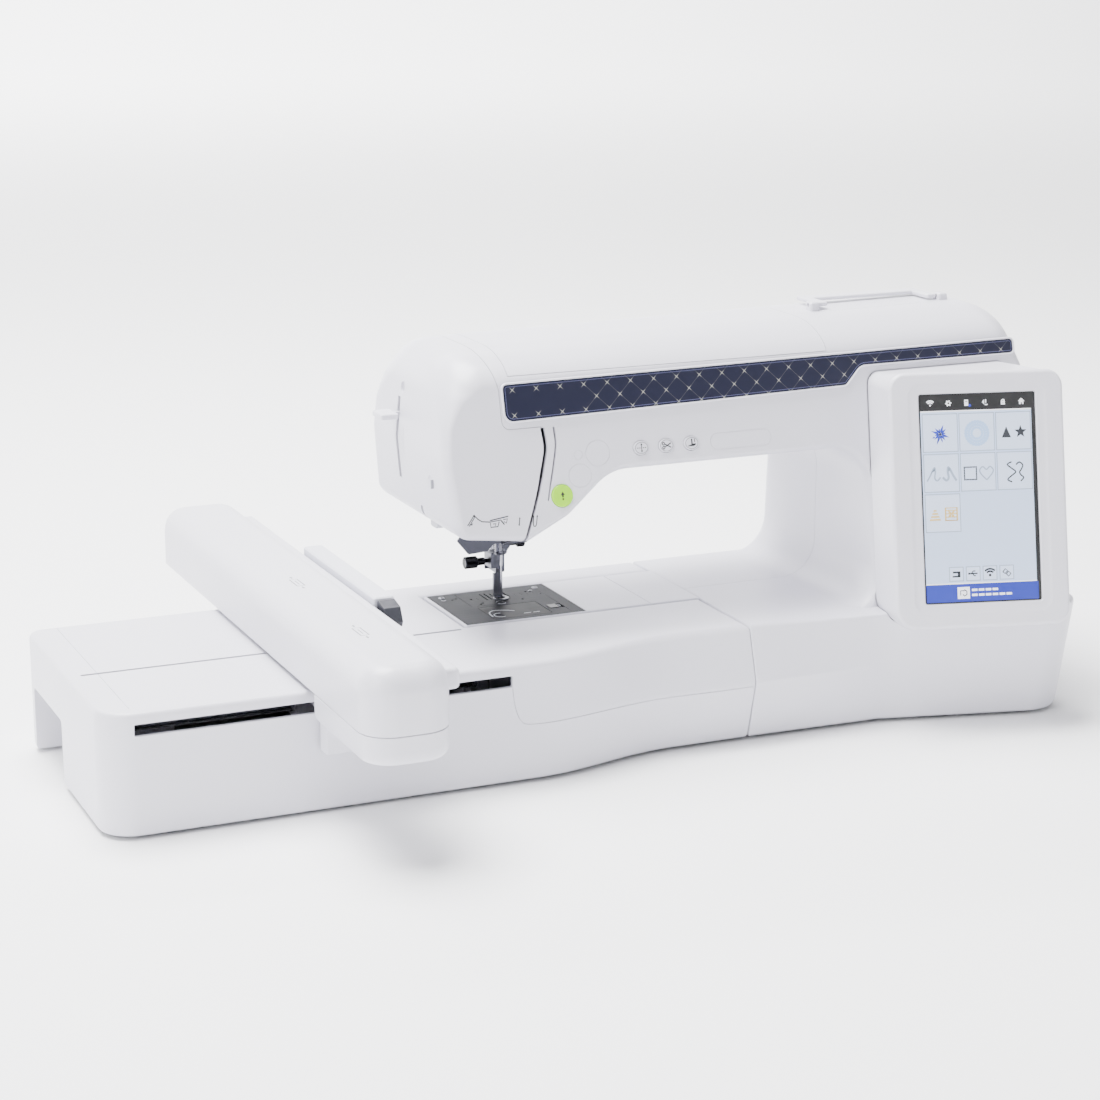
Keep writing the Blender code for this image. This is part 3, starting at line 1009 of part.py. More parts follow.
lower_rear = BLOCK_FRONT - CLEARANCE
lower = carriage_solid("carriage_lower_cover", 0, (
    (CARRIAGE_BOTTOM - 0.0200, 0.0045), (CARRIAGE_BOTTOM - 0.0170, 0.0012),
    (CARRIAGE_BOTTOM - 0.0110, 0), (CARRIAGE_BOTTOM - CLEARANCE, 0)))
cut(lower, box("rear", (-0.5, lower_rear, 0.0), (0.0, 0.5, 0.2)))
well = box("well", (CARRIAGE_LEFT + WALL + 0.004, CARRIAGE_FRONT + WALL + 0.006,
                    CARRIAGE_BOTTOM - 0.0172),
           (CARRIAGE_RIGHT - WALL - 0.004, lower_rear - WALL, 0.2))
cut(lower, well)
finish(lower, WHITE, 0.35, pivot=CARRIAGE_PIVOT)

finish(box("carriage_rail", (Y_RAIL_X - 0.010, CARRIAGE_FRONT + 0.018, CARRIAGE_BOTTOM + 0.0002),
           (Y_RAIL_X + 0.010, CARRIAGE_REAR - 0.018, Y_RAIL_TOP)), STEEL, 0.35, 1.0,
       pivot=CARRIAGE_PIVOT)

HOLDER_LEFT = FLANGE_RIGHT + 0.0010
holder = box("frame_holder", (HOLDER_LEFT, HOLDER_FRONT, HOLDER_LOW - 0.0075),
             (HOLDER_RIGHT, HOLDER_REAR, HOLDER_TOP), 0.002)
join(holder, box("arm", (Y_RAIL_X - 0.008, HOLDER_FRONT + 0.030, Y_RAIL_TOP + CLEARANCE),
                 (HOLDER_LEFT + 0.004, HOLDER_REAR - 0.030, FLANGE_BOTTOM - 0.0015)))
cut(holder, box("clip", (HOLDER_RIGHT - 0.006, HOLDER_FRONT + 0.012, HOLDER_LOW + 0.004),
                (HOLDER_RIGHT + 0.01, HOLDER_REAR - 0.012, HOLDER_TOP - 0.0045)))
finish(holder, (0.72, 0.72, 0.76), 0.35, pivot=(HOLDER_RIGHT, (HOLDER_FRONT + HOLDER_REAR) / 2,
                                               HOLDER_LOW))
lever_hinge = (HOLDER_FRONT - 0.0015, HOLDER_TOP - 0.0025)
frame_lever = prism("frame_lever", [
    (HOLDER_FRONT - 0.0008, HOLDER_LOW + 0.003), (HOLDER_FRONT - 0.0008, HOLDER_TOP - 0.0030),
    (HOLDER_FRONT - 0.0025, HOLDER_TOP - 0.0012), (HOLDER_FRONT - 0.0150, HOLDER_TOP - 0.0040),
    (HOLDER_FRONT - 0.0200, HOLDER_LOW + 0.0060), (HOLDER_FRONT - 0.0180, HOLDER_LOW + 0.002)],
    "X", HOLDER_LEFT + 0.002, HOLDER_RIGHT - 0.001)
finish(frame_lever, DARK, 0.4, pivot=((HOLDER_LEFT + HOLDER_RIGHT) / 2, *lever_hinge))
bpy.context.view_layer.update()
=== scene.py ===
"""Finished surfaces of a computerised sewing and embroidery machine with its embroidery unit on.

Metres.  Sizes are given in the machine's own frame, whose zero lies on the table under the
front seam between machine and unit; machine_zero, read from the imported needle, carries them over.
"""
import json
import math

import bmesh
import bpy
from mathutils import Matrix, Vector

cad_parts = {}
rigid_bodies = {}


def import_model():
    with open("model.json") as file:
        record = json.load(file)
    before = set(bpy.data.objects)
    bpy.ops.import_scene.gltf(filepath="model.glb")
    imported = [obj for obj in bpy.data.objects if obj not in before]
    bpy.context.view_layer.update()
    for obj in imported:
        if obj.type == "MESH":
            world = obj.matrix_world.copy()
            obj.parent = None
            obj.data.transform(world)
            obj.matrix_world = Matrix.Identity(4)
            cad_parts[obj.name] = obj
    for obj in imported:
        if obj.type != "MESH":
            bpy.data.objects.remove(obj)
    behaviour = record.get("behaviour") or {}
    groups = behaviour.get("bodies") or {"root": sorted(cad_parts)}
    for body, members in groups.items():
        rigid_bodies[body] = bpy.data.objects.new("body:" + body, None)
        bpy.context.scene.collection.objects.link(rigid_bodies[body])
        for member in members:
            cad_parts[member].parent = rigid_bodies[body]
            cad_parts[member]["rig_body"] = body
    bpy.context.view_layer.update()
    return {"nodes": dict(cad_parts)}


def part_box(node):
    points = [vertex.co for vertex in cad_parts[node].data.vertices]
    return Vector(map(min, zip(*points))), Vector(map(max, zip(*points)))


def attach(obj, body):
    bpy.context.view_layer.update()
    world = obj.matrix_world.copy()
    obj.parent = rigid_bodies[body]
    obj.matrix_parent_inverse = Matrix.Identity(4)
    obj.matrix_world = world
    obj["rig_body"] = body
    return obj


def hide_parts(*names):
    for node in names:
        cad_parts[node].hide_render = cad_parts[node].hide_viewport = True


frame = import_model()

# ---------------------------------------------------------------- viewer
# A person looks at the machine on a table with a portrait lens, from 1.85 m away,
# a little above it and to the left of its front.
VIEW_TURN = math.radians(23.595)
VIEW_DROP = math.radians(14.63)
VIEW_DISTANCE = 1.85
LENS = 84.9
looked_at = Vector((-0.0379, -0.0553, 0.1485))

gaze = Vector((math.sin(VIEW_TURN) * math.cos(VIEW_DROP),
               math.cos(VIEW_TURN) * math.cos(VIEW_DROP), -math.sin(VIEW_DROP)))
camera = bpy.data.objects.new("camera", bpy.data.cameras.new("camera"))
bpy.context.collection.objects.link(camera)
camera.location = looked_at - gaze * VIEW_DISTANCE
camera.rotation_euler = (math.pi / 2 - VIEW_DROP, 0, -VIEW_TURN)
camera.data.lens = LENS
bpy.context.scene.camera = camera

# ---------------------------------------------------------------- studio
# A matt white card sweeps up into a round wall far behind the machine, so that there is
# no horizon.  A wide soft box hangs overhead, two more stand at the left and right, and
# a fourth lights the wall behind.


def linear(colour):
    """Shader colour of an sRGB hex value."""
    channels = [int(colour[place:place + 2], 16) / 255 for place in (1, 3, 5)]
    straight = [c / 12.92 if c <= 0.04045 else ((c + 0.055) / 1.055) ** 2.4 for c in channels]
    return (*straight, 1.0)


def add(tree, kind, inputs=(), **settings):
    """One node with its settings; inputs maps its sockets to values or to other sockets."""
    node = tree.nodes.new(kind)
    for setting, value in settings.items():
        setattr(node, setting, value)
    for place, value in dict(inputs).items():
        if isinstance(value, bpy.types.NodeSocket):
            tree.links.new(value, node.inputs[place])
        else:
            node.inputs[place].default_value = value
    return node


def new_material(name, colour, roughness, metallic=0.0, more=()):
    """Material with its Principled shader set; returns it with its tree and shader."""
    material = bpy.data.materials.new(name)
    material.use_nodes = True
    tree = material.node_tree
    shader = tree.nodes["Principled BSDF"]
    shader.inputs["Base Color"].default_value = linear(colour)
    shader.inputs["Roughness"].default_value = roughness
    shader.inputs["Metallic"].default_value = metallic
    for socket, value in dict(more).items():
        shader.inputs[socket].default_value = value
    return material, tree, shader


def pattern(tree, kind, pitch, output="Fac", **inputs):
    """Texture in the piece's own space, its features about `pitch` metres apart."""
    where = add(tree, "ShaderNodeTexCoord").outputs["Object"]
    return add(tree, "ShaderNodeTex" + kind,
               {"Vector": where, "Scale": 1 / pitch, **inputs}).outputs[output]


def vary_gloss(tree, shader, share, low, high, span=(0.0, 1.0)):
    """Roughness from low to high as `share` goes through its span."""
    gloss = add(tree, "ShaderNodeMapRange", {"Value": share, "From Min": span[0],
                                             "From Max": span[1], "To Min": low, "To Max": high})
    tree.links.new(gloss.outputs["Result"], shader.inputs["Roughness"])


def vary_colour(tree, shader, share, first, second):
    mix = add(tree, "ShaderNodeMix", {"Factor": share, 6: linear(first), 7: linear(second)},
              data_type="RGBA")
    tree.links.new(mix.outputs[2], shader.inputs["Base Color"])


def emboss(tree, shader, height, strength, distance):
    bump = add(tree, "ShaderNodeBump", {"Height": height, "Strength": strength,
                                        "Distance": distance})
    tree.links.new(bump.outputs["Normal"], shader.inputs["Normal"])


def new_piece(name, points, faces, place=(0, 0, 0)):
    mesh = bpy.data.meshes.new(name)
    mesh.from_pydata([tuple(point) for point in points], [], faces)
    piece = bpy.data.objects.new(name, mesh)
    bpy.context.collection.objects.link(piece)
    piece.location = place
    shape = bmesh.new()
    shape.from_mesh(mesh)
    bmesh.ops.recalc_face_normals(shape, faces=shape.faces)
    shape.to_mesh(mesh)
    shape.free()
    return piece


FLOOR_RADIUS = 7.0
WALL_CURVE = 4.0
sweep = [(0.01, 0.0), (FLOOR_RADIUS, 0.0)]
for step in range(1, 13):
    angle = math.pi / 2 * step / 12
    sweep.append((FLOOR_RADIUS + WALL_CURVE * math.sin(angle),
                  WALL_CURVE * (1 - math.cos(angle))))
AROUND = 96
card_points = []
card_faces = []
for radius, height in sweep:
    for index in range(AROUND):
        angle = 2 * math.pi * index / AROUND
        card_points.append((radius * math.cos(angle), radius * math.sin(angle), height))
for level in range(len(sweep) - 1):
    for index in range(AROUND):
        here = level * AROUND + index
        after = level * AROUND + (index + 1) % AROUND
        card_faces.append((here, after, after + AROUND, here + AROUND))
card_faces.append(tuple(range(AROUND)))
card = new_piece("card_floor", card_points, card_faces)
card.data.shade_smooth()
card.data.materials.append(new_material("white_card", "#FBFBFC", 0.9)[0])


def soft_box(name, place, target, width, height, power):
    light = bpy.data.objects.new(name, bpy.data.lights.new(name, "AREA"))
    bpy.context.collection.objects.link(light)
    light.data.shape = "RECTANGLE"
    light.data.size = width
    light.data.size_y = height
    light.data.energy = power
    light.location = place
    light.rotation_euler = (Vector(target) - Vector(place)).to_track_quat("-Z", "Y").to_euler()


soft_box("overhead_box", (-0.5, 0.5, 2.6), (0, 0, 0), 2.0, 1.6, 330)
soft_box("left_box", (-2.9, -1.3, 1.5), (0, 0, 0.1), 1.8, 1.8, 90)
soft_box("right_box", (2.4, -2.6, 1.7), (0, 0, 0.15), 1.6, 1.6, 24)
soft_box("backdrop_box", (0, 6.0, 4.5), (0, 8.0, 0.5), 7.0, 3.0, 1700)

world = bpy.data.worlds.new("studio")
bpy.context.scene.world = world
world.use_nodes = True
world.node_tree.nodes["Background"].inputs["Color"].default_value = linear("#F6F7FB")
world.node_tree.nodes["Background"].inputs["Strength"].default_value = 0.5

# ---------------------------------------------------------------- machine body
# Four injection mouldings in white ABS, 2.8 mm thick: the front and rear shells, the cover
# over the head's face and the lid over the thread tray.  Screws hold them from behind.
NEEDLE_X = -0.137
NEEDLE_Y = 0.135
NEEDLE_AXIS = (NEEDLE_X, NEEDLE_Y)
needle_low, needle_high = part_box("needle")
machine_zero = (needle_low + needle_high) / 2 - Vector((NEEDLE_X, NEEDLE_Y, 0))
machine_zero.z = 0


def packed_box(node):
    """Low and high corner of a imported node, in the machine's own frame."""
    return [corner - machine_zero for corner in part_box(node)]


CLEARANCE = 0.0004
LOOSE = 0.0006
WALL = 0.0028
TABLE_GAP = 0.003
BED_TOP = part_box("free_arm_cover")[1].z
REAR_FACE = 0.200
SEAM_X = 0.0025
MACHINE_RIGHT = 0.267
BASE_TAPER = 0.006
HEAD_LEFT = -0.218
HEAD_BOTTOM = 0.160
ARM_UNDERSIDE = 0.203
ARM_TOP_LEFT = 0.289
ARM_TOP_RIGHT = 0.2955
COLUMN_LEFT = 0.116
THROAT_RADIUS = 0.028
ARM_FRONT = 0.007
LEAN = 0.25
REAR_LEAN = 0.06
SPLIT_Y = 0.110
SIDE_EDGE = (0.006, 0.010)
TOP_EDGE = (0.022, 0.045)
FRONT_BULGE = 0.012
CREASE_Z = 0.048
SEAM_EDGE = 0.0009
SHELL_WHITE = "#D6D5DE"
ABS_IOR = 1.53


def loft(name, rings):
    """Closed solid through rings that have the same number of points."""
    count = len(rings[0])
    points = [point for ring in rings for point in ring]
    faces = [tuple(range(count)), tuple(range(len(points) - count, len(points)))]
    for level in range(len(rings) - 1):
        for index in range(count):
            here = level * count + index
            after = level * count + (index + 1) % count
            faces.append((here, after, after + count, here + count))
    return new_piece(name, points, faces, machine_zero)


def rounded(corners, steps=8):
    """Outline with an arc at each (a, b, radius) corner."""
    outline = []
    for index, (a, b, radius) in enumerate(corners):
        here = Vector((a, b))
        if radius == 0:
            outline.append(here)
            continue
        back = (Vector(corners[index - 1][:2]) - here).normalized()
        ahead = (Vector(corners[(index + 1) % len(corners)][:2]) - here).normalized()
        half = back.angle(ahead) / 2
        centre = here + (back + ahead).normalized() * radius / math.sin(half)
        start = here + back * radius / math.tan(half) - centre
        sweep_angle = math.pi - 2 * half
        if back.x * ahead.y - back.y * ahead.x > 0:
            sweep_angle = -sweep_angle
        for step in range(steps + 1):
            outline.append(centre + Matrix.Rotation(sweep_angle * step / steps, 2) @ start)
    return outline


def rectangle(left, low, right, high, radius, steps=8):
    return rounded([(left, low, radius), (right, low, radius), (right, high, radius),
                    (left, high, radius)], steps)


def evened(outline, longest):
    """The same outline with points added, so that no side is longer than `longest`."""
    filled = []
    for index, here in enumerate(outline):
        after = outline[(index + 1) % len(outline)]
        parts = max(1, math.ceil((after - here).length / longest))
        filled += [here.lerp(after, part / parts) for part in range(parts)]
    return filled


def inset(outline, distance):
    """The counter-clockwise outline moved inwards, by a number or a rule."""
    moved = []
    for index, here in enumerate(outline):
        one = (here - outline[index - 1]).normalized()
        two = (outline[(index + 1) % len(outline)] - here).normalized()
        normal_one = Vector((-one.y, one.x))
        normal_two = Vector((-two.y, two.x))
        reach = distance(here) if callable(distance) else distance
        moved.append(here + (normal_one + normal_two) * reach / (1 + normal_one.dot(normal_two)))
    return moved


def lift(point, axis, along):
    """A 2-D point put into space, with `along` on the axis."""
    if axis == "X":
        return Vector((along, point[0], point[1]))
    if axis == "Y":
        return Vector((point[0], along, point[1]))
    return Vector((point[0], point[1], along))


def prism(name, outline, axis, low, high):
    return loft(name, [[lift(point, axis, level) for point in outline] for level in (low, high)])


def quarter_round(steps):
    """Shares of an edge's radius, sideways and in depth, from its start to the full section."""
    angles = [math.pi / 2 * step / (steps - 1) for step in range(steps)]
    return [(1 - math.sin(angle), 1 - math.cos(angle)) for angle in angles]


def stacked(name, outline, axis, levels, skin=0.0):
    """Solid whose outline is drawn in at each (level, edge) pair, and by `skin` all over."""
    return loft(name, [[lift(point, axis, level) for point in inset(outline, skin + edge)]
                       for level, edge in levels])


def block(name, low, high, edge=0.0, axis="Z"):
    """Box whose upright edges are rounded and whose ends are chamfered round, by `edge`."""
    a, b, c = {"Z": (0, 1, 2), "Y": (0, 2, 1), "X": (1, 2, 0)}[axis]
    outline = rectangle(low[a], low[b], high[a], high[b], edge, 5)
    if edge == 0:
        return prism(name, outline, axis, low[c], high[c])
    rings = [(inset(outline, edge * 0.98 * side), edge * deep) for side, deep in quarter_round(5)]
    below = [[lift(point, axis, low[c] + depth) for point in ring] for ring, depth in rings]
    above = [[lift(point, axis, high[c] - depth) for point in ring] for ring, depth in rings]
    return loft(name, below + above[::-1])


def directions(count):
    """Cosine and sine of `count` even steps round a circle."""
    angles = [2 * math.pi * index / count for index in range(count)]
    return [(math.cos(angle), math.sin(angle)) for angle in angles]


def turned(name, axis, centre, profile, segments=40):
    """Solid of revolution round the line through `centre`, from (along, radius) pairs."""
    return loft(name, [[lift((centre[0] + radius * cosine, centre[1] + radius * sine), axis, along)
                        for cosine, sine in directions(segments)] for along, radius in profile])


def rod(name, axis, centre, radius, low, high, segments=32):
    return turned(name, axis, centre, [(low, radius), (high, radius)], segments)


def combine(target, tool, operation):
    """Apply a Boolean with the tool and remove the tool."""
    modifier = target.modifiers.new("combine", "BOOLEAN")
    modifier.operation = operation
    modifier.solver = "EXACT"
    modifier.object = tool
    bpy.context.view_layer.update()
    graph = bpy.context.evaluated_depsgraph_get()
    mesh = bpy.data.meshes.new_from_object(target.evaluated_get(graph))
    target.modifiers.clear()
    target.data = mesh
    bpy.data.objects.remove(tool)
    return target


def together(name, pieces):
    """Several solids that don't meet, as one mesh."""
    shape = bmesh.new()
    finishes = []
    for piece in pieces:
        offset = len(finishes)
        first = len(shape.faces)
        shape.from_mesh(piece.data)
        shape.faces.ensure_lookup_table()
        for face in shape.faces[first:]:
            face.material_index += offset
        finishes += list(piece.data.materials)
    mesh = bpy.data.meshes.new(name)
    shape.to_mesh(mesh)
    shape.free()
    for finish in finishes:
        mesh.materials.append(finish)
    whole = bpy.data.objects.new(name, mesh)
    bpy.context.collection.objects.link(whole)
    whole.location = pieces[0].location
    for piece in pieces:
        bpy.data.objects.remove(piece)
    return whole


def cut(target, *tools):
    """The target without the tools; tools given as a list don't meet each other."""
    for tool in tools:
        combine(target, together("tools", tool) if isinstance(tool, list) else tool, "DIFFERENCE")
    return target


def join(target, *tools):
    for tool in tools:
        combine(target, tool, "UNION")
    return target


def keep(target, tool):
    return combine(target, tool, "INTERSECT")


def copy_of(piece, name):
    twin = piece.copy()
    twin.data = piece.data.copy()
    twin.name = name
    bpy.context.collection.objects.link(twin)
    return twin


def seat(piece, node, finish=None, shows=True, crisp=32):
    """Give the piece its finish and shading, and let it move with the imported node's body.

    It stands for the node, or with shows=False it is a detail on it."""
    bpy.context.view_layer.update()
    piece.data.transform(piece.matrix_world)
    piece.matrix_world = Matrix.Identity(4)
    if finish is not None:
        piece.data.materials.clear()
        piece.data.materials.append(finish)
    piece.data.shade_smooth()
    piece.data.set_sharp_from_angle(angle=math.radians(crisp))
    even = piece.modifiers.new("even_shading", "WEIGHTED_NORMAL")
    even.keep_sharp = True
    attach(piece, frame["nodes"][node]["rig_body"])
    if shows:
        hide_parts(node)
    return piece


def blend(low, high, value):
    """Smooth step from 0 at low to 1 at high."""
    share = min(max((value - low) / (high - low), 0.0), 1.0)
    return share * share * (3 - 2 * share)


def moulded_abs(name, colour, roughness=0.34):
    """ABS from a polished mould: satin, with a fine orange peel and slight change in gloss.

    The real peel is 0.3 mm apart; it is drawn 1.2 mm apart so that it shows."""
    material, tree, shader = new_material(name, colour, roughness, more={"IOR": ABS_IOR})
    emboss(tree, shader, pattern(tree, "Noise", 0.0012, Detail=2.0), 0.12, 0.00005)
    vary_gloss(tree, shader, pattern(tree, "Noise", 0.06, Detail=3.0), roughness - 0.03,
               roughness + 0.04, (0.3, 0.7))
    return material


white_abs = moulded_abs("white_abs", SHELL_WHITE)


def front_plane(z):
    return ARM_FRONT + LEAN * (z - BED_TOP)


def rear_plane(z):
    return REAR_FACE - REAR_LEAN * max(z - BED_TOP, 0)


def arm_outline():
    """Front view of head, arm and column, with the bed's top as its lower limb."""
    limb = BED_TOP - 0.028
    return evened(rounded([
        (SEAM_X + 0.0035, limb, 0),
        (MACHINE_RIGHT - 0.004, limb, 0),
        (MACHINE_RIGHT, limb + 0.060, 0.050),
        (MACHINE_RIGHT - 0.005, ARM_TOP_RIGHT, 0.030),
        (HEAD_LEFT + 0.006, ARM_TOP_LEFT, 0.032),
        (HEAD_LEFT, HEAD_BOTTOM + 0.060, 0.040),
        (HEAD_LEFT + 0.005, HEAD_BOTTOM + 0.006, 0.012),
        (NEEDLE_X - 0.023, HEAD_BOTTOM, 0.008),
        (NEEDLE_X + 0.010, HEAD_BOTTOM + 0.015, 0.040),
        (NEEDLE_X + 0.046, ARM_UNDERSIDE, 0.040),
        (COLUMN_LEFT, ARM_UNDERSIDE, THROAT_RADIUS),
        (COLUMN_LEFT, BED_TOP, THROAT_RADIUS),
        (SEAM_X + 0.0035, BED_TOP, 0),
    ], 10), 0.012)


def arm_solid(name, skin, steps=9):
    """The C-shaped body, `skin` inside its real surface."""
    outline = inset(arm_outline(), skin)
    slope = math.hypot(1, LEAN)

    def rounding(point):
        share = blend(0.238, 0.278, point.y)
        return [side + (top - side) * share - skin for side, top in zip(SIDE_EDGE, TOP_EDGE)]

    front = []
    rear = []
    for side, deep in quarter_round(steps):
        ring = inset(outline, lambda point: rounding(point)[0] * side)
        depths = [rounding(point)[1] * deep for point in outline]
        front.append([lift(point, "Y", front_plane(point.y) + skin * slope + depth)
                      for point, depth in zip(ring, depths)])
        rear.append([lift(point, "Y", rear_plane(point.y) - skin - depth)
                     for point, depth in zip(ring, depths)])
    return loft(name, front + rear[::-1])


def base_front(x, z):
    """Y of the machine's front below the bed's top."""
    foot = -0.0024 * blend(0, 0.117, x) - 0.25 * max(x - 0.110, 0)
    brow = 0.001 - 0.012 * blend(0, 0.105, x) - 0.25 * max(x - 0.105, 0)
    height = (z - TABLE_GAP) / (BED_TOP - TABLE_GAP)
    crease = (CREASE_Z - TABLE_GAP) / (BED_TOP - TABLE_GAP)
    ramp = height / crease if height < crease else (1 - height) / (1 - crease)
    return foot + (brow - foot) * height - FRONT_BULGE * (1 - blend(0, 0.13, x)) * ramp


def base_section(z, skin):
    right = MACHINE_RIGHT - BASE_TAPER * (BED_TOP - z) / BED_TOP
    seam_edge = max(SEAM_EDGE, skin + 0.0001)
    corners = [(SEAM_X, base_front(SEAM_X, z), seam_edge)]
    corners += [(x / 100, base_front(x / 100, z), 0) for x in range(2, 21)]
    corners += [(right, base_front(right, z), 0.030), (right, REAR_FACE, 0.012),
                (SEAM_X, REAR_FACE, seam_edge)]
    return inset(rounded(corners), skin)


def levels_around(crease, low, high, gaps=8):
    """Heights from low to high, with three close together so that the crease reads."""
    plain = [low + (high - low) * step / gaps for step in range(gaps + 1)]
    close = [crease - 0.0012, crease, crease + 0.0012]
    return sorted([level for level in plain if abs(level - crease) > 0.003] + close)


def base_solid(name, skin, bottom):
    heights = levels_around(CREASE_Z, bottom + 0.003, BED_TOP - 0.003)
    rings = [(bottom, 0.0020), (bottom + 0.0006, 0.0011), (bottom + 0.0014, 0.0004)]
    rings += [(height, 0) for height in heights]
    if skin == 0:
        rings += [(BED_TOP - 0.0015, 0.0003), (BED_TOP - 0.0006, 0.0009), (BED_TOP, 0.0025)]
    else:
        rings += [(BED_TOP - skin, 0)]
    return loft(name, [[lift(point, "Z", level)
                        for point in base_section(max(level, TABLE_GAP),
                                                  skin + (edge if skin == 0 else 0))]
                       for level, edge in rings])


body = join(arm_solid("body", 0), base_solid("base", 0, TABLE_GAP))
hollow = join(arm_solid("hollow", WALL, 5), base_solid("base_hollow", WALL, -0.002))
cut(body, hollow)

SCREEN_CENTRE = Vector((0.1745, -0.030, 0.1725))
SCREEN_YAW = math.radians(14.5)
SCREEN_LEAN = math.atan(LEAN)
HOUSING_WIDTH = 0.133
HOUSING_HEIGHT = 0.188


def housing_frame():
    """Right, back and up directions of the screen housing."""
    across = Vector((math.cos(SCREEN_YAW), -math.sin(SCREEN_YAW), 0))
    level = Vector((math.sin(SCREEN_YAW), math.cos(SCREEN_YAW), 0))
    up = Vector((0, 0, math.cos(SCREEN_LEAN))) + level * math.sin(SCREEN_LEAN)
    back = level * math.cos(SCREEN_LEAN) - Vector((0, 0, math.sin(SCREEN_LEAN)))
    return across, back, up


def housing_point(u, depth, v):
    across, back, up = housing_frame()
    return SCREEN_CENTRE + across * u + back * depth + up * v


def housing_solid(name, skin, overshoot=0.0, steps=6):
    """Screen housing, `skin` inside its surface, back to the column's front plane."""
    half_width = HOUSING_WIDTH / 2
    half_height = HOUSING_HEIGHT / 2
    corners = [(-half_width, -half_height, 0.016), (half_width, -half_height, 0.012),
               (half_width, half_height, 0.013), (-half_width, half_height, 0.013)]
    outline = inset(evened(rounded(corners, 10), 0.016), skin)
    rings = []
    for side, deep in quarter_round(steps):
        rings.append([housing_point(point.x, skin + 0.0040 * deep, point.y)
                      for point in inset(outline, 0.0030 * side)])
    rings.append([housing_point(point.x, skin + 0.012, point.y) for point in outline])
    last = []
    for point in inset(outline, 0.004):
        place = housing_point(point.x, 0.012, point.y)
        place.y = front_plane(place.z) - LOOSE + overshoot
        last.append(place)
    return loft(name, rings + [last])


def on_front(x, z, outside=0.0):
    """A point on the leaning front face, or that far in front of it."""
    outward = Vector((0, -1, LEAN)).normalized()
    return Vector((x, front_plane(z), z)) + outward * outside


def front_plug(name, x, z, radius_x, radius_z, outside, inside, edge=0.0, segments=48):
    """Oval plug that stands square on the leaning front face, with a soft outer edge."""
    up = Vector((0, LEAN, 1)).normalized()
    levels = [(inside, 0), (-outside + edge, 0)]
    levels += [(-outside + edge * (1 - math.sin(turn)), edge * (1 - math.cos(turn)))
               for turn in (math.pi / 8, math.pi / 4, math.pi * 3 / 8, math.pi / 2) if edge]
    return loft(name, [[on_front(x, z, -depth) + Vector(((radius_x - shrink) * cosine, 0, 0))
                        + up * (radius_z - shrink) * sine
                        for cosine, sine in directions(segments)] for depth, shrink in levels])


def front_ring(name, x, z, radius_x, radius_z, width, depth):
    """Oval groove cutter for the leaning front face."""
    outer = front_plug(name, x, z, radius_x, radius_z, 0.004, depth)
    return combine(outer, front_plug("core", x, z, radius_x - width, radius_z - width, 0.006,
                                     depth + 0.002), "DIFFERENCE")


BUTTONS = {"start_stop_button": (NEEDLE_X + 0.0045, 0.1905, 0.008, 0.008),
           "needle_position_button": (-0.068, 0.218, 0.006, 0.005),
           "thread_cutter_button": (-0.048, 0.218, 0.006, 0.005),
           "presser_foot_button": (-0.028, 0.218, 0.006, 0.005)}
STRIP_LEFT = -0.170
STRIP_RIGHT = 0.250
LID_EDGE = 0.2745
LID_LEFT = STRIP_LEFT + 0.006
LID_RIGHT = 0.090
FREE_ARM_FRONT = 0.082
FREE_ARM_REAR = 0.168
FREE_ARM_LEFT = -0.187
FREE_ARM_BOTTOM = 0.030
PRESSER_Y = NEEDLE_Y + 0.0155
UPPER_SHAFT_Z = 0.245
SHAFT_AXIS = (NEEDLE_Y, UPPER_SHAFT_Z)
SHAFT_RADIUS = 0.004
THREADER_Y = 0.136
THREADER_SLOT = (0.190, 0.250)
INLET_Y = (0.132, 0.160)
INLET_Z = (0.030, 0.052)
SWITCH_Z = (0.062, 0.080)
PORT_X = (0.24, 0.30)

cut(body, housing_solid("housing_pocket", -LOOSE, 0.002))
cut(body, [
    block("arm_port", (SEAM_X - 0.01, FREE_ARM_FRONT + WALL, FREE_ARM_BOTTOM + WALL),
          (SEAM_X + 0.01, FREE_ARM_REAR - WALL, BED_TOP - WALL - 0.002)),
    block("tongue_port", (SEAM_X - 0.01, 0.090, -0.01), (SEAM_X + 0.01, 0.160, 0.0075)),
    rod("shaft_port", "X", SHAFT_AXIS, SHAFT_RADIUS + 0.0012, *PORT_X),
    *(block("port", (PORT_X[0], INLET_Y[0], low), (PORT_X[1], INLET_Y[1], high))
      for low, high in (INLET_Z, SWITCH_Z)),
    block("threader_port", (HEAD_LEFT - 0.01, THREADER_Y - 0.0025, THREADER_SLOT[0]),
          (HEAD_LEFT + 0.02, THREADER_Y + 0.0025, THREADER_SLOT[1]))])
cut(body,
    block("needle_port", (NEEDLE_X - 0.019, SPLIT_Y + 0.004, HEAD_BOTTOM - 0.02),
          (NEEDLE_X + 0.014, PRESSER_Y + 0.012, 0.183), 0.002),
    block("lever_port", (NEEDLE_X - 0.0065, PRESSER_Y + 0.011, HEAD_BOTTOM - 0.02),
          (NEEDLE_X + 0.0065, REAR_FACE + 0.01, 0.215)))
cut(body, [front_plug("port", x, z, half_width + CLEARANCE, half_height + CLEARANCE, 0.01, 0.02)
           for x, z, half_width, half_height in BUTTONS.values()])

# Hairline rings in the front mark what the same moulding carries on other models.
RING_WIDTH = 0.00045
RING_DEPTH = 0.00030
for x, z, radius_x, radius_z in ((-0.1172, 0.2173, 0.0035, 0.0035),
                                 (-0.1020, 0.2173, 0.0095, 0.0095),
                                 (-0.1172, 0.2030, 0.0090, 0.0085)):
    cut(body, front_ring("hairline", x, z, radius_x, radius_z, RING_WIDTH, RING_DEPTH))


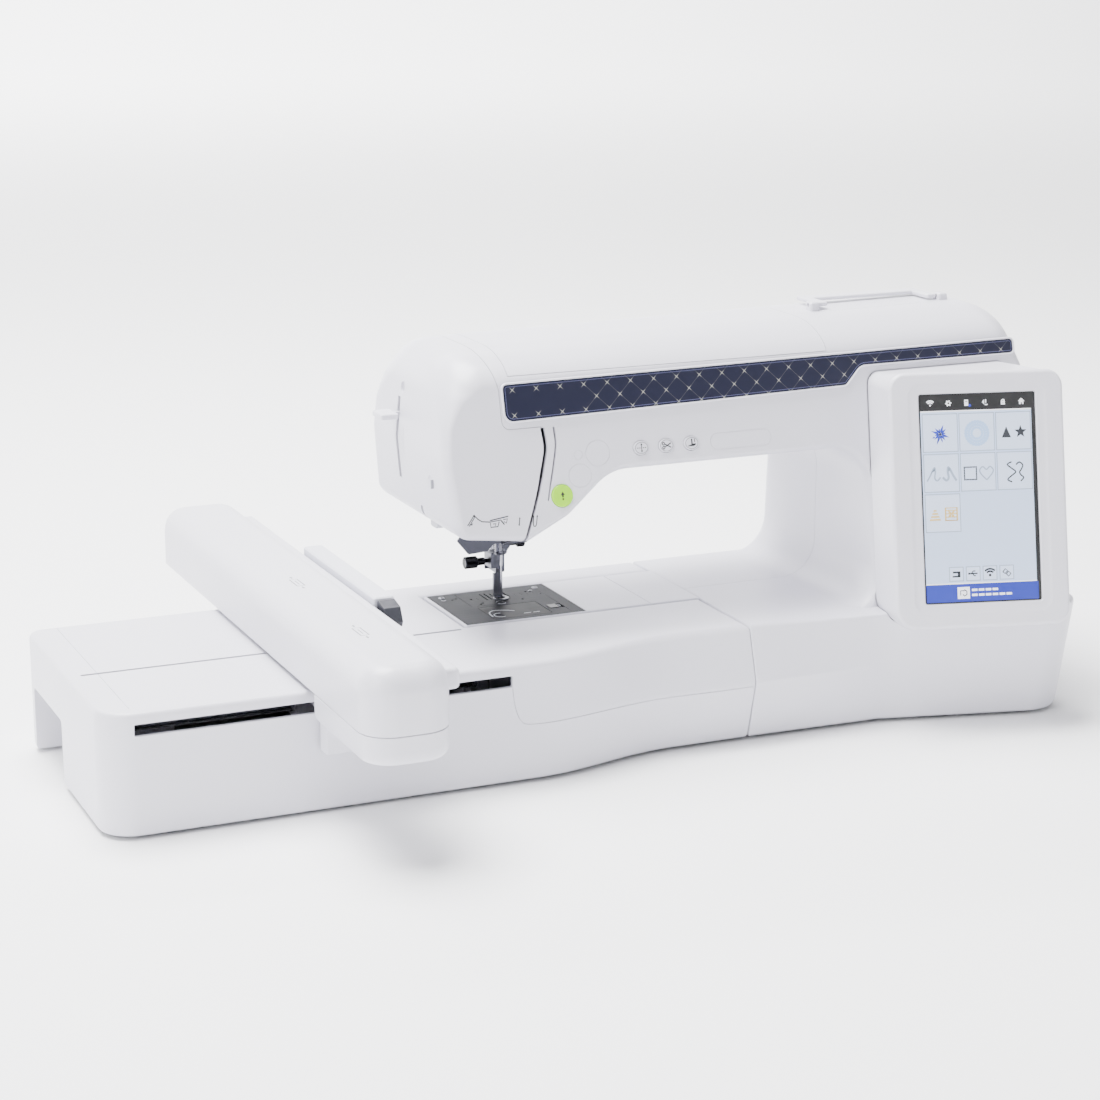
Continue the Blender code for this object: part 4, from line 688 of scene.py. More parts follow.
def front_slab(name, outline, outside, inside):
    """A flat outline in front view, laid on the leaning front face."""
    rings = [[on_front(point.x, point.y, reach) for point in outline]
             for reach in (-inside, outside)]
    return loft(name, rings)


PILL = (-0.0125, 0.2115, 0.0375, 0.2235)
pill_outline = rectangle(*PILL, 0.0059)
pill = combine(front_slab("pill", pill_outline, 0.004, RING_DEPTH),
               front_slab("core", inset(pill_outline, RING_WIDTH), 0.006, 0.002), "DIFFERENCE")
cut(body, pill)

# Two thread channels run down the front of the head: the left one bends out to the needle.
CHANNELS = (
    [(-0.1426, 0.2380), (-0.1416, 0.2290), (-0.1418, 0.2220), (-0.1455, 0.2090), (-0.1515, 0.1905),
     (-0.1635, 0.1610)],
    [(-0.1340, 0.2380), (-0.1334, 0.2290), (-0.1340, 0.2230), (-0.1372, 0.2100), (-0.1412, 0.1960),
     (-0.1432, 0.1880)])
CHANNEL_WIDTHS = (0.0032, 0.0016)
CHANNEL_REAR = 0.062


def ribbon(path, widths):
    """Outline of a band along a path, with a width for each point."""
    left = []
    right = []
    for index, (a, b) in enumerate(path):
        before = Vector(path[max(index - 1, 0)])
        after = Vector(path[min(index + 1, len(path) - 1)])
        along = (after - before).normalized()
        side = Vector((-along.y, along.x)) * widths[index] / 2
        left.append(Vector((a, b)) + side)
        right.append(Vector((a, b)) - side)
    return right + left[::-1]


def eased(path, parts=4):
    """Catmull-Rom curve through the path's points."""
    ends = [Vector(path[0])] + [Vector(point) for point in path] + [Vector(path[-1])]
    curve = []
    for index in range(1, len(ends) - 2):
        before, here, after, beyond = ends[index - 1:index + 3]
        for part in range(parts):
            t = part / parts
            curve.append(0.5 * (2 * here + (after - before) * t
                                + (2 * before - 5 * here + 4 * after - beyond) * t * t
                                + (3 * here - before - 3 * after + beyond) * t ** 3))
    return curve + [ends[-1]]


for path, width in zip(CHANNELS, CHANNEL_WIDTHS):
    curve = eased(path)
    widths = [width * (1 if index < len(curve) * 0.6 else 1.6 - index / len(curve))
              for index in range(len(curve))]
    cut(body, prism("channel", ribbon(curve, widths), "Y", 0.0, CHANNEL_REAR))

# The head's left face has a large and a small round hollow, a hairline and a guide hole.
cut(body,
    turned("hollow", "X", (0.0720, 0.1985), [
        (HEAD_LEFT - 0.010, 0.0075), (HEAD_LEFT + 0.0018, 0.0062), (HEAD_LEFT + 0.0026, 0.0040)]),
    turned("hollow", "X", (0.1300, 0.2578), [
        (HEAD_LEFT - 0.010, 0.0050), (HEAD_LEFT + 0.0046, 0.0040), (HEAD_LEFT + 0.0052, 0.0028)]),
    block("hairline", (HEAD_LEFT - 0.01, 0.1228, 0.192), (HEAD_LEFT + 0.0010, 0.1235, 0.236)),
    block("guide_hole", (HEAD_LEFT - 0.01, 0.0945, 0.1700), (-0.1965, 0.0990, 0.1775),
          0.0015, "X"))


def seam_outline(gap):
    """Face cover's region in front view, grown by `gap`; it runs round the trim strip."""
    seam = rounded([(NEEDLE_X - 0.027, HEAD_BOTTOM - 0.01, 0),
                    (NEEDLE_X - 0.0248, HEAD_BOTTOM + 0.003, 0),
                    (NEEDLE_X - 0.011, 0.203, 0), (NEEDLE_X - 0.0058, 0.222, 0),
                    (NEEDLE_X - 0.0058, 0.2385, 0), (STRIP_LEFT - 0.003, 0.2385, 0.006),
                    (STRIP_LEFT - 0.003, 0.266, 0), (STRIP_LEFT - 0.012, 0.310, 0),
                    (HEAD_LEFT - 0.02, 0.310, 0), (HEAD_LEFT - 0.02, HEAD_BOTTOM - 0.01, 0)], 6)
    return inset(seam, -gap)


face_cover = keep(copy_of(body, "face_cover_moulding"),
                  prism("tool", seam_outline(0), "Y", -0.1, 0.3))
cut(body, prism("tool", seam_outline(CLEARANCE), "Y", -0.1, 0.3))
top_lid = keep(copy_of(body, "top_lid_moulding"),
               block("tool", (LID_LEFT, -0.1, LID_EDGE), (LID_RIGHT, 0.3, 0.32)))
cut(body, block("tool", (LID_LEFT - CLEARANCE, -0.1, LID_EDGE - CLEARANCE),
                (LID_RIGHT + CLEARANCE, 0.3, 0.32)))
rear_shell = cut(copy_of(body, "rear_shell_moulding"),
                 block("tool", (-0.4, -0.2, -0.1), (0.4, SPLIT_Y + CLEARANCE / 2, 0.4)))
front_shell = cut(body, block("tool", (-0.4, SPLIT_Y - CLEARANCE / 2, -0.1), (0.4, 0.4, 0.4)))
front_shell.name = "front_shell_moulding"

# The rear shell has cooling slots low down, deep screw holes and bosses for the handle.
VENTS = 9
VENT_PITCH = 0.009
vents = [block("vent", (0.060 + VENT_PITCH * index, REAR_FACE - 0.02, 0.026),
               (0.0635 + VENT_PITCH * index, REAR_FACE + 0.02, 0.058), 0.0016, "Y")
         for index in range(VENTS)]
SCREW_HOLES = ((-0.196, 0.180), (-0.196, 0.262), (0.020, 0.250), (0.244, 0.250), (0.246, 0.104),
               (0.016, 0.070), (0.246, 0.030))
holes = [rod("hole", "Y", place, 0.0040, REAR_FACE - 0.022, REAR_FACE + 0.02)
         for place in SCREW_HOLES]
cut(rear_shell, vents, holes)
sleeves = []
for x, z in SCREW_HOLES:
    sleeve = rod("sleeve", "Y", (x, z), 0.0058, rear_plane(z) - 0.012, rear_plane(z) - 0.0012)
    sleeves.append(cut(sleeve, rod("hole", "Y", (x, z), 0.0040, rear_plane(z) - 0.0105,
                                   rear_plane(z) + 0.01)))
seat(together("screw_sleeves", sleeves), "rear_shell", white_abs, shows=False)

HANDLE_LEFT = 0.118
HANDLE_RIGHT = 0.222
HANDLE_Y = 0.118
HANDLE_Z = 0.2978
PIN_RADIUS = 0.0012
BOSS_OFFSET = 0.0045
for x in (HANDLE_LEFT - BOSS_OFFSET, HANDLE_RIGHT + BOSS_OFFSET):
    join(rear_shell, block("boss", (x - 0.004, HANDLE_Y - 0.005, 0.2905),
                           (x + 0.004, HANDLE_Y + 0.005, 0.3003), 0.0020))
    cut(rear_shell, rod("bore", "X", (HANDLE_Y, HANDLE_Z), PIN_RADIUS + CLEARANCE,
                        x - 0.01, x + 0.01))
seat(front_shell, "front_shell", white_abs)
seat(rear_shell, "rear_shell", white_abs)
seat(face_cover, "face_cover", white_abs)
seat(top_lid, "top_lid", white_abs)


def zinc_plate(name, colour, roughness=0.32):
    """Zinc-plated or nickelled steel: an even metal with a fine grain from tumbling."""
    material, tree, shader = new_material(name, colour, roughness, 1.0)
    vary_gloss(tree, shader, pattern(tree, "Noise", 0.0006, Detail=2.0), roughness - 0.08,
               roughness + 0.10)
    return material


screw_zinc = zinc_plate("screw_zinc", "#8E8F96")


def cross_head(axis, centre, along, radius, facing):
    """Pan head of a cross-recessed screw; facing is +1 or -1 along the axis."""
    profile = [(along, radius), (along + facing * radius * 0.35, radius * 0.96),
               (along + facing * radius * 0.55, radius * 0.72),
               (along + facing * radius * 0.60, radius * 0.30)]
    head = turned("head", axis, centre, profile, 24)
    reach = facing * radius * 0.7
    span = sorted((along + facing * radius * 0.25, along + reach))
    for wide, tall in ((0.62, 0.14), (0.14, 0.62)):
        low = lift((centre[0] - radius * wide, centre[1] - radius * tall), axis, span[0])
        high = lift((centre[0] + radius * wide, centre[1] + radius * tall), axis, span[1])
        cut(head, block("recess", low, high))
    return head


screws = [cross_head("Y", (x, z), rear_plane(z) - 0.0104, 0.0033, 1) for x, z in SCREW_HOLES]
seat(together("rear_screws", screws), "rear_shell", screw_zinc, shows=False)

# ---------------------------------------------------------------- carrying handle
# One white ABS moulding that folds back flat on the arm: two arms on steel pins and a
# grip bar, whose underside is ribbed for the fingers.
HANDLE_THICKNESS = 0.0032
ARM_WIDTH = 0.008
ARM_REACH = 0.034
GRIP_RIBS = 12
RIB_PITCH = 0.0055
half = HANDLE_THICKNESS / 2
handle = block("carry_handle_moulding", (HANDLE_LEFT, HANDLE_Y - half, HANDLE_Z - half),
               (HANDLE_LEFT + ARM_WIDTH, HANDLE_Y + ARM_REACH, HANDLE_Z + half), 0.0012, "Y")
join(handle,
     block("arm", (HANDLE_RIGHT - ARM_WIDTH, HANDLE_Y - half, HANDLE_Z - half),
           (HANDLE_RIGHT, HANDLE_Y + ARM_REACH, HANDLE_Z + half), 0.0012, "Y"),
     block("grip", (HANDLE_LEFT + 0.001, HANDLE_Y + 0.0215, HANDLE_Z - half + 0.0001),
           (HANDLE_RIGHT - 0.001, HANDLE_Y + 0.0338, HANDLE_Z + half - 0.0001), 0.0013, "X"))
cut(handle, [block("rib", (0.1380 + RIB_PITCH * index, HANDLE_Y + 0.018, HANDLE_Z - half - 0.001),
                   (0.1395 + RIB_PITCH * index, HANDLE_Y + 0.036, HANDLE_Z - half + 0.0006))
             for index in range(GRIP_RIBS)])
seat(handle, "carry_handle", white_abs)
pins = [rod("pin", "X", (HANDLE_Y, HANDLE_Z), PIN_RADIUS, low, high)
        for low, high in ((HANDLE_LEFT - 0.005, HANDLE_LEFT + 0.0002),
                          (HANDLE_RIGHT - 0.0002, HANDLE_RIGHT + 0.005))]
seat(together("handle_pins", pins), "carry_handle", zinc_plate("pin_steel", "#B9BAC0", 0.25),
     shows=False)

# ---------------------------------------------------------------- trim strip
# A printed navy film under clear lacquer on a raised band, in a white moulded bead.  The
# print is a lattice of fine diagonals; where they cross, glints are painted in as pale rays
# (painted highlights).
GLINT_PITCH = 0.0183
GLINT_RISE = 0.0087
FIRST_GLINT = (-0.1632, 0.2569)
PLAIN_COLUMNS = 3.1
FAINT_LINE = 0.00022
PAINTED_GLINT_WIDTH = 0.00042
PAINTED_GLINT_LENGTH = 0.0036
NAVY = "#15172C"
# Pale colour shared by the printed lattice lines and the painted glints, which are painted
# highlights.
PALE_LINE_AND_PAINTED_GLINT = "#B9B8AE"


def navy_film_with_painted_glints():
    """Navy print under gloss lacquer; lines 0.3 mm wide, drawn in the film's own plane, with
    painted highlights (glints) as pale rays where they cross.
    """
    material, tree, shader = new_material("navy_film_with_painted_glints", NAVY, 0.42,
                                          more={"Specular IOR Level": 0.25})
    where = add(tree, "ShaderNodeSeparateXYZ",
                {"Vector": add(tree, "ShaderNodeTexCoord").outputs["Object"]})

    def step(operation, *values, clamp=False):
        return add(tree, "ShaderNodeMath", dict(enumerate(values)), operation=operation,
                   use_clamp=clamp).outputs["Value"]

    column = step("DIVIDE", step("SUBTRACT", where.outputs["X"], FIRST_GLINT[0] + machine_zero.x),
                  GLINT_PITCH)
    row = step("DIVIDE", step("SUBTRACT", where.outputs["Z"], FIRST_GLINT[1]), GLINT_RISE)
    half_row = step("MULTIPLY", row, 0.5)
    diagonal = GLINT_PITCH * 0.69
    away = []
    for operation in ("ADD", "SUBTRACT"):
        cell = step("FRACT", step("ADD", step(operation, column, half_row), 10.0))
        away.append(step("MULTIPLY", step("ABSOLUTE", step("SUBTRACT", cell, 0.5)), diagonal))
    lattice = step("GREATER_THAN", column, PLAIN_COLUMNS)
    edge_rows = step("GREATER_THAN", step("ABSOLUTE", row), 0.5)
    lines_and_painted_glints = None
    for across, along in (away, away[::-1]):
        line = step("SUBTRACT", 1.0, step("DIVIDE", across, FAINT_LINE), clamp=True)
        faint = step("MULTIPLY", line, step("MULTIPLY", lattice, 0.16))
        # Painted highlight: a pale ray painted into the base colour at each crossing, standing in
        # for a glint of light.
        ray = step("SUBTRACT", 1.0, step("DIVIDE", across, PAINTED_GLINT_WIDTH), clamp=True)
        ending = step("SUBTRACT", 1.0, step("DIVIDE", along, PAINTED_GLINT_LENGTH), clamp=True)
        reach = step("POWER", ending, 1.5)
        painted_glint = step("MULTIPLY", step("MULTIPLY", ray, reach),
                     step("MAXIMUM", lattice, edge_rows))
        both = step("MAXIMUM", faint, painted_glint)
        lines_and_painted_glints = both if lines_and_painted_glints is None else step("MAXIMUM", lines_and_painted_glints, both)
    # The faint pale lines are the printed lattice; the rays are painted glints (painted
    # highlights).
    vary_colour(tree, shader, lines_and_painted_glints, NAVY, PALE_LINE_AND_PAINTED_GLINT)
    return material


strip_outline = rounded([(STRIP_LEFT, 0.2440, 0.0060), (0.103, 0.2492, 0.004),
                         (0.1165, 0.2625, 0.011), (STRIP_RIGHT, 0.2625, 0.0025),
                         (STRIP_RIGHT, 0.2725, 0.003), (STRIP_LEFT, 0.2690, 0.003)], 8)
film_rings = [[on_front(point.x, point.y, proud) for point in inset(strip_outline, edge)]
              for proud, edge in ((CLEARANCE, 0), (0.0011, 0), (0.0014, 0.0003), (0.0015, 0.0008))]
seat(loft("trim_film", film_rings), "trim_strip", navy_film_with_painted_glints())


def hoop(name, loops):
    """Ring-shaped solid through closed loops; the last loop meets the first."""
    count = len(loops[0])
    points = [point for loop in loops for point in loop]
    faces = []
    for level in range(len(loops)):
        here = level * count
        there = (level + 1) % len(loops) * count
        for index in range(count):
            after = (index + 1) % count
            faces.append((here + index, here + after, there + after, there + index))
    return new_piece(name, points, faces, machine_zero)


BEAD_WIDTH = 0.0015
bead = []
for step in range(9):
    angle = math.pi * step / 8
    outwards = BEAD_WIDTH / 2 * (1 - math.cos(angle)) + 0.0001
    proud = 0.0010 + 0.0012 * math.sin(angle)
    bead.append([on_front(point.x, point.y, proud) for point in inset(strip_outline, -outwards)])
for outwards in (BEAD_WIDTH + 0.0001, 0.0001):
    bead.append([on_front(point.x, point.y, 0.0003) for point in inset(strip_outline, -outwards)])
seat(hoop("trim_bead", bead), "trim_strip", white_abs, shows=False)
border = [[on_front(point.x, point.y, proud) for point in inset(strip_outline, edge)]
          for edge, proud in ((0.0013, 0.00152), (0.0016, 0.00152), (0.0016, 0.00145),
                              (0.0013, 0.00145))]
seat(hoop("trim_fine_line", border), "trim_strip", new_material("film_line", "#5A5C80", 0.35)[0],
     shows=False)

# ---------------------------------------------------------------- buttons
# Four caps of ABS stand proud of the arm in their openings: three white ones with printed
# symbols and the start button, a clear lime cap lit from behind.
BUTTON_PROUD = 0.0014


def clear_lime():
    """Tinted clear ABS over a diffused lamp: it glows evenly and keeps a polished skin."""
    material, tree, shader = new_material("clear_lime", "#93CE06", 0.18, more={
        "IOR": ABS_IOR, "Emission Color": linear("#A6F000"), "Emission Strength": 0.35})
    vary_colour(tree, shader, pattern(tree, "Noise", 0.006, Detail=1.0), "#86C400", "#9CDC10")
    return material


def print_ink(name, colour):
    """Pad-printing ink: a matt film a few hundredths of a millimetre thick."""
    material, tree, shader = new_material(name, colour, 0.55)
    emboss(tree, shader, pattern(tree, "Noise", 0.0004), 0.1, 0.00002)
    return material


black_ink = print_ink("black_ink", "#1D1D22")
grey_ink = print_ink("grey_ink", "#6B6C74")
lime_cap = clear_lime()
for node, (x, z, half_width, half_height) in BUTTONS.items():
    cap = front_plug(node + "_cap", x, z, half_width, half_height, BUTTON_PROUD, 0.005, 0.0007)
    seat(cap, node, lime_cap if node == "start_stop_button" else white_abs)

INK = 0.00006
PRESSURE = 1.5


def arc(a, b, radius, start, end, steps=12):
    """Points on an arc; angles in degrees."""
    return [(a + radius * math.cos(math.radians(start + (end - start) * step / steps)),
             b + radius * math.sin(math.radians(start + (end - start) * step / steps)))
            for step in range(steps + 1)]


def stroke(path, width):
    return ribbon(path, [width * PRESSURE] * len(path))


def printed(name, node, ink, outlines, place, heights=(-INK, INK)):
    """Ink shapes as one piece; place(a, b, height) puts a point of a shape on the surface."""
    shapes = [loft("shape", [[place(point[0], point[1], height) for point in outline]
                             for height in heights]) for outline in outlines]
    return seat(together(name, shapes), node, ink, shows=False)


def front_spot(x, z, proud, scale=1.0):
    """A place on the front face for printing, its shapes drawn in millimetres."""
    return lambda a, b, height: on_front(x + a * scale / 1000, z + b * scale / 1000,
                                         proud + height)


needle_symbol = [stroke([(0, -3.0), (0, 3.0)], 0.45), [(-0.9, 1.9), (0.9, 1.9), (0, 3.3)],
                 [(-0.9, -1.9), (0, -3.3), (0.9, -1.9)], stroke([(-3.6, 0), (-2.5, 0)], 0.4),
                 stroke([(-1.9, 0), (-0.9, 0)], 0.4), stroke([(0.9, 0), (1.9, 0)], 0.4),
                 stroke([(2.5, 0), (3.6, 0)], 0.4)]
scissor_symbol = [stroke([(-1.6, 1.1), (3.4, -1.6)], 0.5), stroke([(-1.6, -1.1), (3.4, 1.6)], 0.5),
                  stroke(arc(-2.5, 1.4, 0.9, 0, 350, 16), 0.45),
                  stroke(arc(-2.5, -1.4, 0.9, 0, 350, 16), 0.45)]
foot_symbol = [[(-0.4, 3.1), (0.7, 3.1), (0.7, -0.4), (3.2, -0.4), (3.4, -1.2), (1.6, -2.1),
                (-3.0, -2.1), (-3.3, -1.6), (-0.4, -0.9)],
               stroke([(2.4, 0.6), (2.4, 2.8)], 0.4)]
go_symbol = [[(-1.6, 0.4), (1.6, 0.4), (0, 2.9)], [(-0.6, -1.1), (0.6, -1.1), (0.6, 0.5),
                                                   (-0.6, 0.5)],
             [(-0.6, -3.0), (0.6, -3.0), (0.6, -1.7), (-0.6, -1.7)]]
for node, symbol in (("needle_position_button", needle_symbol),
                     ("thread_cutter_button", scissor_symbol),
                     ("presser_foot_button", foot_symbol), ("start_stop_button", go_symbol)):
    x, z = BUTTONS[node][:2]
    printed(node + "_symbol", node, black_ink, symbol, front_spot(x, z, BUTTON_PROUD))
    if node != "start_stop_button":
        half_width, half_height = BUTTONS[node][2:]
        section = ((0.0009, INK), (0.0013, INK), (0.0013, -INK), (0.0009, -INK))
        rim = hoop("rim", [[on_front(x + (half_width - shrink) * cosine,
                                     z + (half_height - shrink) * sine, BUTTON_PROUD + height)
                            for cosine, sine in directions(48)] for shrink, height in section])
        rim.name = node + "_ring"
        seat(rim, node, grey_ink, shows=False)

# Small printed hints low on the head: how the needle threader is worked, and the way of
# the thread beside the channels.
threader_hint = [stroke([(0, 2.9), (5.3, 9.2)], 0.45), stroke([(1.2, 2.4), (5.9, 8.2)], 0.4),
                 [(2.4, 3.4), (4.3, 4.6), (3.3, 2.7)],
                 [(4.6, 9.6), (6.0, 10.0), (6.6, 8.6), (5.4, 8.4)],
                 stroke([(5.9, 9.0), (8.2, 6.6), (11.0, 4.7), (17.0, 3.9)], 0.5),
                 stroke([(17.0, 4.9), (31.0, 6.6)], 0.5), stroke([(17.0, 3.9), (25.5, 4.6)], 0.4),
                 stroke([(17.2, 3.2), (17.2, 0.3), (22.6, 0.3), (23.8, 3.6)], 0.5),
                 stroke([(19.0, 2.4), (21.4, 2.4), (20.4, 1.0)], 0.4),
                 stroke([(25.4, 4.2), (27.6, 1.2)], 0.6),
                 stroke([(27.0, 4.6), (30.2, 4.9), (29.0, 2.0), (27.4, 3.4)], 0.45)]
printed("threader_hint", "face_cover", black_ink, threader_hint, front_spot(-0.2058, 0.1738, 0))
thread_hint = [stroke([(0, 0), (0.9, 4.6)], 0.45), [(0.3, 4.2), (1.5, 4.2), (1.0, 5.6)],
               [(-0.6, 0.6), (0.6, 0.4), (-0.1, -0.9)]]
printed("thread_hint_left", "face_cover", black_ink, thread_hint, front_spot(-0.1672, 0.1736, 0))
loop_hint = [stroke([(0.7, 6.6), (0.0, 1.6), (0.3, 0.3), (1.2, 0.0), (2.0, 0.5), (2.6, 2.0),
                     (3.5, 6.6)], 0.45),
             [(0.0, 6.4), (1.4, 6.4), (0.8, 7.9)], [(2.8, 6.4), (4.2, 6.4), (3.7, 7.9)]]
printed("thread_hint_right", "front_shell", black_ink, loop_hint, front_spot(-0.1565, 0.1716, 0))

# ---------------------------------------------------------------- screen housing and panel
# A white ABS frame turned towards the user holds a seven-inch touch panel behind glass.
# Round the glass the moulding is dished, with a chamfered lip that meets the glass.
GLASS_WIDTH = 0.0875
GLASS_HEIGHT = 0.1525
GLASS_OFFSET = (0.0005, 0.001)
GLASS_DEPTH = 0.0012
DISH_DEPTH = 0.0007


def glass_outline(grow, radius):
    """Rounded outline round the glass, that much larger on every side."""
    a = GLASS_WIDTH / 2 + grow
    b = GLASS_HEIGHT / 2 + grow
    middle_u, middle_v = GLASS_OFFSET
    return rectangle(middle_u - a, middle_v - b, middle_u + a, middle_v + b, radius)


def glass_loft(name, levels):
    """Solid round the glass from (grow, radius, depth) levels."""
    return loft(name, [[housing_point(point.x, depth, point.y)
                        for point in glass_outline(grow, radius)]
                       for grow, radius, depth in levels])


housing = cut(housing_solid("screen_housing_moulding", 0),
              housing_solid("cavity", WALL, 0.01),
              glass_loft("window", [(CLEARANCE, 0.0012, -0.01), (CLEARANCE, 0.0012, 0.02)]),
              glass_loft("dish", [(0.0110, 0.0125, -0.0010), (0.0092, 0.0110, 0),
                                  (0.0078, 0.0095, DISH_DEPTH * 0.55),
                                  (0.0062, 0.0080, DISH_DEPTH * 0.9),
                                  (0.0046, 0.0065, DISH_DEPTH)]),
              glass_loft("lip", [(0.0030, 0.0042, -0.0010), (0.0013, 0.0026, DISH_DEPTH),
                                 (0.0005, 0.0018, DISH_DEPTH + 0.0010)]))
seat(housing, "screen_housing", white_abs)


def lit_panel(name, colour, glow=0.30):
    """One colour of the lit picture, seen through glass: even, glowing, with a hard gloss."""
    material, tree, shader = new_material(name, colour, 0.45, more={
        "Coat Weight": 1.0, "Coat Roughness": 0.05, "Emission Color": linear(colour),
        "Emission Strength": glow})
    vary_gloss(tree, shader, pattern(tree, "Noise", 0.05), 0.35, 0.55)
    return material


panel_black = lit_panel("panel_black", "#060609", 0.0)
panel_sky = lit_panel("panel_sky", "#B9C9E6")
panel_tile = lit_panel("panel_tile", "#C4D1EA")
panel_line = lit_panel("panel_line", "#8E9DB4")
panel_blue = lit_panel("panel_blue", "#1B2C9C", 0.12)
panel_white = lit_panel("panel_white", "#F2F4FA")
panel_ink = lit_panel("panel_ink", "#20232B", 0.0)
panel_petal = lit_panel("panel_petal", "#2536B0", 0.12)
panel_ring = lit_panel("panel_ring", "#9DBCE4")
panel_gold = lit_panel("panel_gold", "#CDB069")
glass = join(glass_loft("panel_glass", [(0, 0.0010, GLASS_DEPTH), (0, 0.0010, 0.004)]),
             glass_loft("rim", [(0.004, 0.002, 0.0034), (0.004, 0.002, 0.010)]))
seat(glass, "screen_glass", panel_black)
LAYER = 0.00003


def panel_spot(a, b, height):
    """A place in the picture, in thousandths of its width and height from its top left."""
    return housing_point(GLASS_OFFSET[0] + (a / 1000 - 0.5) * GLASS_WIDTH,
                         GLASS_DEPTH - height, GLASS_OFFSET[1] + (0.5 - b / 1000) * GLASS_HEIGHT)


def picture(name, finish, outlines, layer):
    """Shapes of one colour in one layer of the lit picture."""
    return printed(name, "screen_glass", finish, outlines, panel_spot, (-LAYER, LAYER * layer))


def patch(left, top, right, bottom):
    return [(left, top), (right, top), (right, bottom), (left, bottom)]


def frame_lines(left, top, right, bottom, width=7):
    thin = width * GLASS_WIDTH / GLASS_HEIGHT
    return [patch(left, top, right, top + thin), patch(left, bottom - thin, right, bottom),
            patch(left, top, left + width, bottom), patch(right - width, top, right, bottom)]


def scaled(shape, a, b, size):
    """A shape drawn in a square of -1…1, put at a place with its half width in thousandths."""
    return [(a + point[0] * size, b - point[1] * size * GLASS_WIDTH / GLASS_HEIGHT)
            for point in shape]


PICTURE_RIGHT = 966
BAR = 78
BANNER = 912
TILE_LEFTS = (16, 334, 652)
TILE_TOPS = (92, 284, 476)
TILE_SIZE = (308, 184)
tiles = [(left, top, left + TILE_SIZE[0], top + TILE_SIZE[1])
         for top in TILE_TOPS[:2] for left in TILE_LEFTS]
tiles.append((TILE_LEFTS[0], TILE_TOPS[2], TILE_LEFTS[0] + TILE_SIZE[0],
              TILE_TOPS[2] + TILE_SIZE[1]))
KEYS = [(left, 828, left + 126, 898) for left in (204, 350, 496, 642)]
picture("picture_field", panel_sky, [patch(4, BAR + 4, PICTURE_RIGHT, BANNER - 6)], 1)
picture("picture_tiles", panel_tile, [patch(*place) for place in tiles + KEYS], 2)
picture("picture_lines", panel_line,
        [line for place in tiles + KEYS for line in frame_lines(*place)], 3)
picture("picture_banner", panel_blue, [patch(4, BANNER, PICTURE_RIGHT + 12, 996)], 1)
picture("picture_rules", panel_white,
        [patch(4, level, PICTURE_RIGHT, level + 5) for level in (BAR, BANNER - 6)], 2)

# White symbols stand in the top bar: signal, settings, page, needle guard, lock, home.
gear = [(math.cos(turn * math.pi / 12) * (1.0 if turn % 4 < 2 else 0.68),
         math.sin(turn * math.pi / 12) * (1.0 if turn % 4 < 2 else 0.68)) for turn in range(24)]
signal = [stroke(arc(0, -0.7, radius, 45, 135), 0.26) for radius in (1.6, 1.05)]
signal.append(arc(0, -0.5, 0.3, 0, 330, 11))
lock = [patch(-0.62, -0.9, 0.62, 0.15), stroke(arc(0, 0.2, 0.42, 0, 180), 0.24)]
home = [[(-1.05, 0.0), (0, 1.0), (1.05, 0.0)], patch(-0.68, -0.95, 0.68, 0.0)]
page = [patch(-0.7, -0.95, 0.5, 0.95)]
guard = [[(-0.9, 0.1), (-0.2, 0.9), (-0.2, -0.7)], patch(0.15, -0.2, 0.45, 0.9),
         patch(0.0, -0.9, 0.9, -0.6)]
BAR_MIDDLE = 43
icons = [(signal, 92), ([gear], 250), (page, 408), (guard, 566), (lock, 724), (home, 884)]
picture("picture_icons", panel_white,
        [scaled(shape, place, BAR_MIDDLE, 27) for shapes, place in icons for shape in shapes], 2)
picture("picture_icon_holes", panel_black,
        [scaled(arc(0, 0, 0.32, 0, 340, 17), 250, BAR_MIDDLE, 27),
         scaled(patch(-0.45, 0.2, 0.2, 0.5), 408, BAR_MIDDLE, 27),
         scaled(patch(-0.14, -0.6, 0.14, -0.2), 724, BAR_MIDDLE, 27),
         scaled(patch(-0.2, -0.95, 0.2, -0.35), 884, BAR_MIDDLE, 27)], 3)
picture("picture_badge", panel_petal, [scaled(arc(0, 0, 0.42, 0, 345, 20), 434, 56, 27)], 4)


def middle_of(tile, shift=0.0):
    left, top, right, bottom = tiles[tile]
    return (left + right) / 2 + shift, (top + bottom) / 2 + 6


def petal(angle, start, length, width):
    """A pointed leaf that starts off the centre."""
    along = Vector((math.cos(math.radians(angle)), math.sin(math.radians(angle))))
    side = Vector((-along.y, along.x))
    base = along * start
    return [base, base + along * length * 0.4 - side * width, base + along * length,
            base + along * length * 0.4 + side * width]


flower = [petal(angle, 0.10, 0.55 + 0.22 * (turn % 3), 0.13)
          for turn, angle in enumerate(range(10, 370, 30))]
flower += [petal(250, 0.5, 0.7, 0.09), petal(285, 0.45, 0.5, 0.08), petal(205, 0.6, 0.4, 0.1)]
picture("tile_flower", panel_petal, [scaled(shape, *middle_of(0), 78) for shape in flower], 4)
picture("tile_flower_heart", panel_ink,
        [scaled(shape, *middle_of(0), 78) for shape in [
            arc(0, 0, 0.12, 0, 330, 11),
            *(petal(angle, 0.05, 0.32, 0.05) for angle in range(0, 360, 60))]], 5)
rings = []
for count, radius, size in ((26, 0.92, 0.15), (22, 0.68, 0.13), (18, 0.45, 0.11)):
    for turn in range(count):
        angle = 2 * math.pi * turn / count
        rings.append(arc(radius * math.cos(angle), radius * math.sin(angle), size, 0, 300, 5))
picture("tile_wreath", panel_ring, [scaled(shape, *middle_of(1), 104) for shape in rings], 4)
